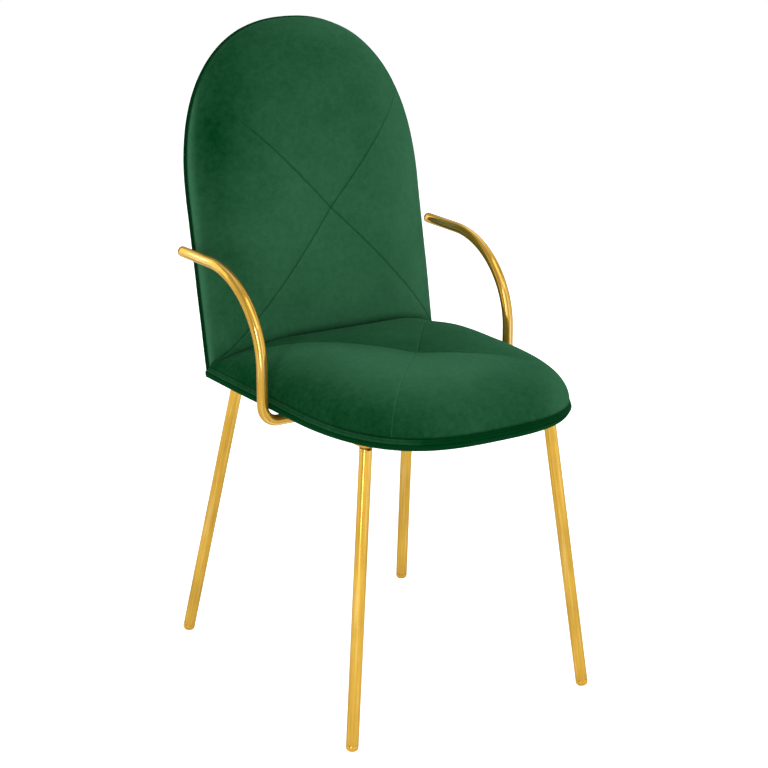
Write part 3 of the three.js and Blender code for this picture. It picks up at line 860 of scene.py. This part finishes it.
def seam_relief(flat, crossing, near, depth):
    """How far the seams draw the cloth in, and how it puckers beside them."""
    pulled = QUILT_SWELL * np.exp(-np.sum((flat - crossing) ** 2, 1) / QUILT_REACH ** 2)
    groove = GROOVE_DEPTH * depth * bell(near.distance, GROOVE_WIDTH)
    wander = 3 * waves(np.c_[flat, 0 * flat[:, 0]], 30 * mm)
    pucker = PUCKER_DEPTH * np.sin(near.run / PUCKER_PITCH + wander)
    pucker *= depth * np.exp(-near.distance / PUCKER_REACH) * (1 - bell(near.distance, 2 * mm))
    return groove + pulled, pucker


def corner_panels(mesh, flat, seams):
    """For each face corner its vertex and its sewn panel: k runs anticlockwise from seam k."""
    vertex = np.zeros(len(mesh.loops), int)
    mesh.loops.foreach_get("vertex_index", vertex)
    starts = np.array([p.loop_start for p in mesh.polygons])
    totals = np.array([p.loop_total for p in mesh.polygons])
    middles = np.add.reduceat(flat[vertex], starts) / totals[:, None]
    near = nearness(middles, [resampled(s, 6 * mm) for s in seams])
    panel = np.where(near.side > 0, near.route, (near.route - 1) % len(seams))
    return vertex, np.repeat(panel, totals)


def quilted_pad(name, node, surface, quilting, light_and_shade):
    """A pad of four panels sewn together along two crossing seams, swollen by its filling.

    The last argument gives the painted light and shade on the pile, from the panel's number, the
    flat place and how far the surface faces across.
    """
    seams = quilting.routes(surface)
    fine = triangulated(surface, seams, QUILT_MESH, SEAM_ROWS)
    u, v = fine.flat.T
    near = nearness(fine.flat, [resampled(s, 5 * mm) for s in seams])
    lengths = np.array([np.hypot(*np.diff(s, axis=0).T).sum() for s in seams])
    left = np.array(quilting.fades)[near.route]
    depth = 1 - (1 - left) * ramp(near.run / lengths[near.route], *SEAM_FADES)
    moves = cloth_moves(surface, fine, PAD_PRESSURE, PAD_SWELL, seams)
    points, normals = surface.lift(u, v), surface.normals(u, v)
    drawn_in, pucker = seam_relief(fine.flat, seams[0][0], near, depth)
    soft = 0.5 * mm * waves(points, 55 * mm, 3.1) + 0.12 * mm * waves(points, 14 * mm, 7.7)
    edge = surface.edge_distance(u, v)
    free = eased(np.minimum(edge, v - surface.crease_line(u)).clip(0), 12 * mm)
    out = (soft + pucker) * free - drawn_in * eased(edge, 4 * mm)
    out[fine.crease] = 0
    row = to_row(points + moves + normals * out[:, None], surface.panel.to_row)
    faces = [tuple(f) for f in fine.faces.tolist()]
    faces.append(tuple(reversed(fine.outline)))
    faces.append(tuple(reversed([fine.outline[-1], *fine.crease, fine.outline[0]])))
    piece = make_piece(name, node, row, faces, QUILTED_VELVET)
    # Painted shade: dark lines in the seam grooves, and a dark crevice along the pad's edge where
    # it overhangs the welt.
    on_seam = depth * bell(near.distance, 0.8 * mm)
    under = 0.9 * bell(edge - 0.6 * mm, 1.6 * mm)
    add_attribute(piece.data, "seam", "POINT", np.maximum(quilting.shade * on_seam, under))
    # Corners know their own panel, so that the painted light and shade changes sharply at a seam.
    vertex, panel = corner_panels(piece.data, fine.flat, seams)
    # A painted highlight along the seams, as much as the quilting's lift gives.
    lightness = light_and_shade(panel, u[vertex], v[vertex], normals[vertex, 0]) + quilting.lift * on_seam[vertex]
    add_attribute(piece.data, "light_and_shade", "CORNER", lightness)


SEAT_SURFACE = PadSurface(SEAT, SEAT_PAD)
BACK_SURFACE = PadSurface(BACK, BACK_PAD)
SEAT_QUILTING = Quilting((0.0, 262 * mm), (1.12, 0.98), (1, 1, 0.1, 1), 0.0, 0.45)
BACK_QUILTING = Quilting((0.0, 214.5 * mm), (1.06, 1.12), (1, 0.5, 0.05, 1), 0.65, 0.0)
REAR_PANEL, FAR_PANEL = 3, 2  # of the seat


def seat_light_and_shade(panel, u, v, across):
    """Painted light and shade: light on the flat top, shaded round the near edges and lighter
    where they turn to the light on the right; the far and rear panels have levels of their own.
    """
    low = 0.39 - 0.24 * ramp(across, 0.15, 0.75) + 0.56 * ramp(-across, 0.05, 0.5)
    lightness = low + (1.18 - low) * ramp(SEAT_SURFACE.edge_distance(u, v), 12 * mm, 142 * mm)
    # Painted shade on the other panels where they fold down towards the rear panel.
    before_fold = v - SEAT_QUILTING.crossing[1] + SEAT_QUILTING.slopes[0] * np.maximum(u, 0)
    lightness = lightness * (0.75 + 0.25 * ramp(before_fold, -10 * mm, 60 * mm))
    # Painted shade on the far and rear panels: their pile shows less sheen, and the rear one sits
    # in the back's shade.
    far = 0.30 - u / (200 * mm)
    rear = 0.56 - u / (450 * mm) - 0.1 * ramp(v, 100 * mm, 250 * mm)
    return np.where(panel == REAR_PANEL, rear, np.where(panel == FAR_PANEL, far, lightness))


def back_light_and_shade(_panel, _u, v, across):
    """Painted light and shade: lighter low down and to the right, where the light falls, with a
    band of painted shade down the left shoulder.
    """
    # Painted shade band down the left shoulder, where it turns from the light.
    band = bell(across + 0.60, 0.24)
    band *= (0.26 + 0.12 * ramp(v, 180 * mm, 300 * mm)) * (1 - 0.5 * ramp(v, 340 * mm, 440 * mm))
    lightness = 0.80 - 0.28 * ramp(v, 180 * mm, 430 * mm) - band
    lightness = lightness - 0.1 * ramp(-across, 0, 0.35) * ramp(v, 150 * mm, 300 * mm)
    # Painted light where the surface faces the light on the right, painted shade along the crease.
    lightness = lightness + 0.44 * ramp(across, 0.05, 0.6) - 0.14 * (1 - ramp(v, 10 * mm, 50 * mm))
    # Painted light along the top edge.
    lightness = lightness + ramp(v, 445 * mm, 515 * mm) * (0.1 + 0.3 * ramp(across, -0.2, 0.3))
    # The left edge, turned away, gets the palest painted light: painted sheen and rim light.
    return lightness + (1.5 - lightness) * ramp(-across, 0.82, 1.0)


quilted_pad("seat_pad", "seat_cushion", SEAT_SURFACE, SEAT_QUILTING, seat_light_and_shade)
quilted_pad("back_pad", "back_cushion", BACK_SURFACE, BACK_QUILTING, back_light_and_shade)

# --- rear of the back ---

REAR_PRESSURE = 3
REAR_SWELL = 3 * mm
REAR_MESH = 4 * mm


def rear_cover():
    """The back's rear: a shallow pad hollowed for the board, level with the underside."""
    surface = PadSurface(REAR, REAR_PAD)
    fine = triangulated(surface, [], REAR_MESH)
    u, v = fine.flat.T
    moves = cloth_moves(surface, fine, REAR_PRESSURE, REAR_SWELL)
    points, normals = surface.lift(u, v), surface.normals(u, v)
    edge = np.minimum(surface.edge_distance(u, v), v - surface.crease_line(u)).clip(0)
    soft = 0.4 * mm * waves(points, 70 * mm, 5.3) * eased(edge, 15 * mm)
    points = points + moves + normals * soft[:, None]
    # The rim round the hollow, and the hollow's floor against the board.
    loop = [*fine.outline, *fine.crease]
    inward = (HALF_WIDTH - BOARD_INSET + SEAM_GAP) / (HALF_WIDTH - REAR_PAD.inset)
    middle = np.array([0, REAR.straight, 0])
    rim = middle + (points[loop] - middle) * inward
    rim[:, 1] = np.maximum(rim[:, 1], REAR_PAD.start + 0.5 * mm)
    rim[len(fine.outline):] = points[fine.crease] * (0.985, 1, 1)
    rim[:, 2] = 0
    hollow = rim.copy()
    hollow[:, 2] = BOARD_BACK - WELT_DEPTH
    rim_loop, hollow_loop = (np.arange(2 * len(loop)) + len(points)).reshape(2, -1).tolist()
    faces = [tuple(f) for f in fine.faces.tolist()]
    faces += band(rim_loop, loop) + band(hollow_loop, rim_loop)
    faces.append(tuple(reversed(hollow_loop)))
    row = to_row(np.concatenate([points, rim, hollow]), REAR.to_row)
    beside_border = row[:, 2] < border_high.z + 0.6 * mm
    row[beside_border, 1] = np.maximum(row[beside_border, 1], BORDER_REAR + SEAM_GAP)
    row[:, 2] = np.maximum(row[:, 2], border_low.z)
    piece = make_piece("back_rear_pad", "back_rear_cover", row, faces, VELVET)


rear_cover()

# --- welts ---

WELT_PAST_CREASE = 14 * mm  # how far the path runs on before the ends are cut
WELT_BEND = 25 * mm  # y at which the welt starts to turn to its mitre


def welt_section(sides=14):
    """Figure-of-eight section of two cords sewn together, as (out, down)."""
    pitch = math.hypot(*WELT_STEP)
    slant = math.atan2(*WELT_STEP)
    neck = math.acos(min(1, pitch / (2 * WELT_RADIUS)))
    points = []
    for cord in (0, 1):
        turn = np.linspace(0, 2 * (math.pi - neck), sides + 1)[:-1]
        turn = slant + math.pi * cord + neck + turn
        out = cord * WELT_STEP[0] + WELT_RADIUS * np.sin(turn)
        down = cord * WELT_STEP[1] + WELT_RADIUS * np.cos(turn)
        points.append(np.stack([out, down], 1))
    return np.concatenate(points)


def double_welt(name, node, panel, seed, pale):
    """Two cords round an arch panel's edge, in painted shade; `pale` adds painted light to the
    side that faces left, and painted shade there when negative.
    """
    path = arch_outline(panel, WELT_INSET, -WELT_PAST_CREASE, 3.5 * mm)
    along = unit(np.gradient(path, axis=0))
    outward = np.stack([along[:, 1], -along[:, 0]], 1)
    section = welt_section()
    steps = np.c_[path, np.zeros(len(path))]
    sway = 0.25 * mm * waves(steps, 45 * mm, seed)
    thick = 1 + 0.035 * waves(steps, 9 * mm, seed + 4)
    middle = section.mean(0)
    grown = middle + (section - middle) * thick[:, None, None]
    out, down = grown[:, :, :1] + sway[:, None, None], grown[:, :, 1:]
    sections = np.concatenate([path[:, None] + outward[:, None] * out, -WELT_DROP - down], 2)
    # Both ends are cut on the plane where the two welts meet.
    cut = sections[:, :, 2] / math.tan(WELT_MITRE) + MITRE_GAP
    y = sections[:, :, 1]
    share = (WELT_BEND - y) / (WELT_BEND + WELT_PAST_CREASE)
    sections[:, :, 1] = np.where(y < WELT_BEND, WELT_BEND + share * (cut - WELT_BEND), y)
    piece = loft(name, node, to_row(sections, panel.to_row), False, WELT_VELVET)
    facing = np.repeat(outward[:, 0], len(section)) * np.sign(panel.to_row[0, 0])
    # Painted shade under the pad's overhang, and painted light on the side that faces left.
    add_attribute(piece.data, "light_and_shade", "POINT", -0.35 + pale * ramp(-facing, 0.0, 0.8))


double_welt("seat_double_welt", "seat_welt", SEAT, 1.3, 0.62)
double_welt("back_double_welt", "back_welt", BACK, 8.9, -0.15)

# --- border and dust cover ---

BORDER_OUT = 0.2 * mm  # inset of its outer face
BORDER_ROUND = 6 * mm
BORDER_WRAP = 2.4 * mm  # thickness under the board
BORDER_FLAP = 26 * mm  # how far it is turned in there
BORDER_TUCK = 5.5 * mm  # how far its lower edge is drawn in at the front
BORDER_INNER = BOARD_INSET + BORDER_FLAP


def border_profile():
    """The wrapped velvet's section as (inset, z): its outer points, and those against the board."""
    top, bottom, fold = -WELT_DEPTH, -UNDERSIDE, BORDER_ROUND
    outer = [(BORDER_OUT, z) for z in np.linspace(top, bottom + fold, 3)]
    for turn in np.linspace(0, math.pi / 2, 9)[1:]:
        across, up = fold * (1 - math.cos(turn)), fold * (1 - math.sin(turn))
        outer.append((BORDER_OUT + across, bottom + up))
    flap = np.linspace(BORDER_OUT + fold, BORDER_INNER - 1 * mm, 8)[1:]
    outer += [(inset, bottom) for inset in flap]
    inner = [(BORDER_INNER, bottom + 0.8 * mm), (BORDER_INNER, bottom + BORDER_WRAP)]
    flap = np.linspace(BORDER_INNER, BOARD_INSET - SEAM_GAP, 7)[1:]
    inner += [(inset, bottom + BORDER_WRAP) for inset in flap]
    return outer, [*inner, (BOARD_INSET - SEAM_GAP, top)]


def border():
    """Velvet wrapped round the lower edge of the seat and turned in under it."""
    outer, inner = border_profile()
    profile = outer + inner
    rear = CREASE.y - BORDER_REAR
    loops = []
    for inset, z in profile:
        deep = inset - BORDER_OUT
        corner = max(BORDER_ROUND - 2 * mm - deep, 0.4 * mm)
        loop = closed_outline(SEAT, inset, rear + deep, corner, 4 * mm)
        loops.append(np.c_[loop, np.full(len(loop), z)])
    sections = np.stack(loops, 1)
    flat = sections.reshape(-1, 3)
    out = unit((flat - np.array([0, SEAT.straight, 0])) * (1, 1, 0))
    # Slightly uneven half way down its outer face.
    uneven = bell(flat[:, 2] + 15 * mm, 5 * mm)[:, None]
    flat = flat + out * uneven * 0.25 * mm * waves(flat, 40 * mm, 2.2)[:, None]
    # Drawn in towards its lower edge at the front.
    insets = np.tile([inset for inset, _ in profile], len(sections))
    is_outer = np.tile(np.arange(len(profile)) < len(outer), len(sections))
    tuck = BORDER_TUCK * ramp(flat[:, 1], 240 * mm, 400 * mm) * is_outer
    tuck *= ((-WELT_DEPTH - flat[:, 2]) / (UNDERSIDE - WELT_DEPTH)).clip(0, 1)
    tuck *= ((BORDER_INNER - insets) / BORDER_INNER).clip(0, 1)
    row = to_row((flat - out * tuck[:, None]).reshape(sections.shape), SEAT.to_row)
    # In painted shade, under the pad's overhang.
    loft("seat_edge_wrap", "seat_border", row, True, SHADED_VELVET)


border()


def dust_cover():
    """Black felt stapled inside the turned-in velvet, slightly slack."""
    low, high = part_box("seat_dust_cover")
    top, bottom = high.z - CREASE.z, low.z - CREASE.z
    inset, rear = BORDER_INNER + SEAM_GAP, BORDER_FLAP + SEAM_GAP
    outline = closed_outline(SEAT, inset, rear, 1 * mm, 5 * mm)
    grid = hexagonal((-HALF_WIDTH, HALF_WIDTH), (0, SEAT.length), 6 * mm)
    inside = SEAT_SURFACE.family(*grid.T) > inset + 3 * mm
    inside &= grid[:, 1] > rear + 3 * mm
    edges = closed_edges(len(outline))
    flat, faces, _ = joined_up(np.concatenate([outline, grid[inside]]), edges)
    count = len(flat)
    within = np.minimum(SEAT_SURFACE.family(*flat.T) - inset, flat[:, 1] - BORDER_FLAP).clip(0)
    slack = 0.5 + 0.5 * waves(np.c_[flat, 0 * flat[:, 0]], 60 * mm, 6.1)
    lower = np.c_[flat, bottom - 0.9 * mm * (slack * eased(within, 20 * mm))]
    upper = np.c_[flat, np.full(count, top)]
    skin = [tuple(f) for f in np.concatenate([faces[:, ::-1], count + faces]).tolist()]
    skin += [(a, b, count + b, count + a) for a, b in edges]
    row = to_row(np.concatenate([lower, upper]), SEAT.to_row)
    make_piece("seat_felt", "seat_dust_cover", row, skin, FELT)


dust_cover()

# --- legs and arms ---

SIDES = 48  # of a tube
TURNS = np.linspace(0, 2 * math.pi, SIDES + 1)[:-1]
LEG_RADIUS = 9 * mm
ARM_RADIUS = 8 * mm
TUBE_WALL = 1.5 * mm
GLIDE_HEIGHT = 9 * mm
AXIS_HOLE = 0.02 * mm  # radius at which a plug's section starts
DRAWN = 0.03  # how much streaks are shortened along a tube
LEVEL = 1e-5  # heights this near are the same


def node_points(node):
    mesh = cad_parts[node].data
    points = np.zeros(len(mesh.vertices) * 3)
    mesh.vertices.foreach_get("co", points)
    return points.reshape(-1, 3)


def brass_loft(name, node, sections, drawn, material):
    """A brass tube or plug; `drawn` places each point round the tube and along it."""
    piece = loft(name, node, sections, True, material)
    add_attribute(piece.data, "drawn", "POINT", drawn.reshape(-1, 3))


def turned(base, axis, profile):
    """Sections of a solid of revolution, one for each turn, and their `drawn` places."""
    axis = axis / np.linalg.norm(axis)
    across = np.cross(axis, (0.0, 1.0, 0.0))
    across /= np.linalg.norm(across)
    other = np.cross(axis, across)
    sections, drawn = [], []
    for turn in TURNS:
        cos, sin = math.cos(turn), math.sin(turn)
        out = across * cos + other * sin
        sections.append([base + out * r + axis * h for r, h in profile])
        drawn.append([(r * cos, r * sin, DRAWN * h) for r, h in profile])
    return np.array(sections), np.array(drawn)


def leg(end, side):
    """A tube cut square above its foot and level under its plate; returns its foot and axis."""
    node = f"leg_{end}_{side}"
    points = node_points(node)
    glide_points = node_points(f"foot_glide_{end}_{side}")
    foot = glide_points[glide_points[:, 2] < LEVEL].mean(0)
    foot[2] = 0
    top = points[:, 2].max()
    head = points[points[:, 2] > top - LEVEL].mean(0)
    length = np.linalg.norm(head - foot)
    axis = (head - foot) / length
    edge, bore = 0.35 * mm, LEG_RADIUS - TUBE_WALL
    lowest = GLIDE_HEIGHT + edge
    profile = [
        (bore, GLIDE_HEIGHT), (LEG_RADIUS - edge, GLIDE_HEIGHT), (LEG_RADIUS, lowest),
        *[(LEG_RADIUS, lowest + t) for t in np.linspace(0, length - 2 * LEG_RADIUS, 24)[1:]],
        (LEG_RADIUS, length), (bore, length),
    ]
    sections, drawn = turned(foot, axis, profile)
    for ring in (-2, -1):
        excess = (top - sections[:, ring, 2]) / axis[2]
        sections[:, ring] += excess[:, None] * axis
    brass_loft(f"{node}_tube", node, sections, drawn, LEG_BRASS)
    return foot, axis


def glide(end, side, foot, axis):
    """The rounded foot that plugs the tube, flat where it stands on the floor."""
    stem = LEG_RADIUS - TUBE_WALL - SEAM_GAP
    stem_top = 25 * mm
    lip, top = 0.3 * mm, GLIDE_HEIGHT - 0.12 * mm
    rounding = [
        (3 * mm + 6 * mm * math.sin(turn), 5.2 * mm - 6 * mm * math.cos(turn))
        for turn in np.linspace(0.52, math.pi / 2, 12)
    ]
    profile = [
        (AXIS_HOLE, -0.5 * mm), *rounding, (LEG_RADIUS, top - lip), (LEG_RADIUS - lip, top),
        (stem, top), (stem, stem_top), (AXIS_HOLE, stem_top),
    ]
    sections, drawn = turned(foot, axis, profile)
    sections[:, :, 2] = np.maximum(sections[:, :, 2], 0)
    brass_loft(f"foot_{end}_{side}", f"foot_glide_{end}_{side}", sections, drawn, LEG_BRASS)


for end in ("front", "rear"):
    for side in ("left", "right"):
        glide(end, side, *leg(end, side))

ARM_BEND = 24 * mm  # radius at which it turns up beside the seat
ARM_RISE, ARM_REACH = 127 * mm, 143 * mm  # of the sweep back to the tip
ARM_TOE = math.tan(math.radians(1.3))  # how the arms open towards their tips
ARM_BESIDE = 14 * mm  # upright's axis beyond the panel's widest line


def arm_path(sign):
    """Axis of an arm: out from under the seat, up beside it, and in a long sweep to its tip."""
    points = node_points("arm_left" if sign < 0 else "arm_right")
    low, high = points.min(0), points.max(0)
    run_z, top_z = low[2] + ARM_RADIUS, high[2] - ARM_RADIUS
    upright_x, upright_y = HALF_WIDTH + ARM_BESIDE, low[1] + ARM_RADIUS
    bend_x, bend_z = upright_x - ARM_BEND, run_z + ARM_BEND
    inner_x = np.abs(points[:, 0]).min()
    path = [(x, 0.0, run_z) for x in np.linspace(inner_x, bend_x, 20)[:-1]]
    for turn in np.linspace(0, math.pi / 2, 22):
        out, down = ARM_BEND * math.sin(turn), ARM_BEND * math.cos(turn)
        path.append((bend_x + out, 0.0, bend_z - down))
    path += [(upright_x, 0.0, z) for z in np.linspace(bend_z, top_z - ARM_RISE, 12)[1:]]
    for turn in np.linspace(0, math.pi / 2, 64)[1:]:
        back, down = ARM_REACH * (1 - math.cos(turn)), ARM_RISE * (1 - math.sin(turn))
        path.append((upright_x, back, top_z - down))
    straight = np.linspace(ARM_REACH, high[1] - upright_y, 18)[1:]
    path = np.array(path + [(upright_x, y, top_z) for y in straight])
    path[:, 0] += path[:, 1] * ARM_TOE
    path[:, 1] += upright_y
    return path * (sign, 1, 1)


def carried_frames(path):
    """Section axes carried along a path without twist."""
    across = np.array([0.0, 1.0, 0.0])
    frames = []
    for direction in unit(np.gradient(path, axis=0)):
        across = across - direction * (across @ direction)
        across /= np.linalg.norm(across)
        frames.append((across, np.cross(direction, across)))
    return frames


def arm(side, sign):
    """A bent tube, and the domed plug in its free end."""
    path = arm_path(sign)
    along = np.cumsum(np.linalg.norm(np.diff(path, axis=0), axis=1))
    cos, sin = np.cos(TURNS)[:, None], np.sin(TURNS)[:, None]
    rings, drawn = [], []
    for radius, order in ((ARM_RADIUS, 1), (ARM_RADIUS - TUBE_WALL, -1)):
        rings += [
            centre + radius * (cos * a + sin * b)
            for centre, (a, b) in zip(path, carried_frames(path))
        ][::order]
        drawn += [
            np.c_[radius * cos, radius * sin, np.full(SIDES, DRAWN * far)] for far in (0, *along)
        ][::order]
    brass_loft(f"arm_{side}_tube", f"arm_{side}", np.array(rings), np.array(drawn), ARM_BRASS)
    stem, lip = ARM_RADIUS - TUBE_WALL - SEAM_GAP, 0.15 * mm
    dome = [
        (ARM_RADIUS * math.cos(t), lip + 3.85 * mm * math.sin(t))
        for t in np.linspace(0, math.pi / 2, 12)[:-1]
    ]
    profile = [
        (AXIS_HOLE, -12 * mm), (stem, -12 * mm), (stem, lip), *dome, (AXIS_HOLE, 4 * mm),
    ]
    plug = turned(path[-1], path[-1] - path[-2], profile)
    brass_loft(f"arm_{side}_plug", f"arm_cap_{side}", *plug, ARM_BRASS)


arm("left", -1)
arm("right", 1)

# --- stage and light ---

FLOOR_HALF = 6.0
LAMP_REACH = 3.2  # from the point that the lamps are aimed at
LAMP_AIM = Vector((0, 0, 0.6))
# Name, azimuth from the chair's front towards its right, height, both in degrees, and watts;
# then width and height where they aren't the usual.
LAMPS = (
    ("front", -20, 8, 34, (4.4, 3.4)), ("key", 48, 10, 42, (4.0, 3.4)), ("upper", 10, 58, 52),
    ("left_rim", -110, 8, 12), ("rear_left", -150, 20, 45), ("rear_right", 120, 30, 22),
    ("strip", -54, 9, 30, (0.45, 2.2)),
)


def white_for_camera(nodes):
    """1 for camera, glossy and transmission rays, which see a white studio; 0 for light."""
    rays = nodes.tree.nodes.new("ShaderNodeLightPath").outputs
    seen = nodes.math("MAXIMUM", rays["Is Camera Ray"], rays["Is Glossy Ray"])
    return nodes.math("MAXIMUM", seen, rays["Is Transmission Ray"])


def make_world():
    """A faint cool light all round, seen as white."""
    scene.world = bpy.data.worlds.new("studio")
    nodes = Nodes(scene.world)
    nodes.tree.nodes.clear()
    lit = nodes.add("Background", 0, {"Color": (0.95, 0.98, 1.0), "Strength": 0.15})
    shown = nodes.add("Background", 0, {"Color": (1, 1, 1), "Strength": 1.0})
    mixed = nodes.add("MixShader", 0, {0: white_for_camera(nodes), 1: lit, 2: shown})
    nodes.join(mixed, nodes.tree.nodes.new("ShaderNodeOutputWorld").inputs["Surface"])


def make_floor():
    """A pale floor that takes the chair's shadow and is seen whiter further away."""
    mesh = bpy.data.meshes.new("floor")
    h = FLOOR_HALF
    mesh.from_pydata([(-h, -h, 0), (h, -h, 0), (h, h, 0), (-h, h, 0)], [], [(0, 1, 2, 3)])
    nodes = Nodes(bpy.data.materials.new("floor"))
    away = nodes.add("VectorMath", "Value", {0: nodes.place()}, operation="LENGTH")
    whiter = nodes.spread(away, 0.6, 2.2, 0.82, 1.0)
    nodes.set(
        Base_Color=(0.8, 0.8, 0.8), Roughness=1.0, Specular_IOR_Level=0.0,
        Emission_Color=(1, 1, 1),
        Emission_Strength=nodes.math("MULTIPLY", white_for_camera(nodes), whiter),
    )
    floor = make_object("floor", mesh, nodes.owner)


def area_light(name, azimuth, height, power, size=(2.4, 2.4)):
    """A soft rectangular lamp aimed at the chair."""
    turn, rise = math.radians(azimuth), math.radians(height)
    away = LAMP_REACH * Vector((
        math.sin(turn) * math.cos(rise), -math.cos(turn) * math.cos(rise), math.sin(rise),
    ))
    data = bpy.data.lights.new(name, "AREA")
    data.shape = "RECTANGLE"
    data.size, data.size_y = size
    data.energy = power
    lamp = bpy.data.objects.new(name, data)
    lamp.location = LAMP_AIM + away
    lamp.rotation_euler = (-away).to_track_quat("-Z", "Y").to_euler()
    scene.collection.objects.link(lamp)


make_world()
make_floor()
for lamp in LAMPS:
    area_light(*lamp)

# --- finish ---

scene.view_settings.view_transform = "Standard"
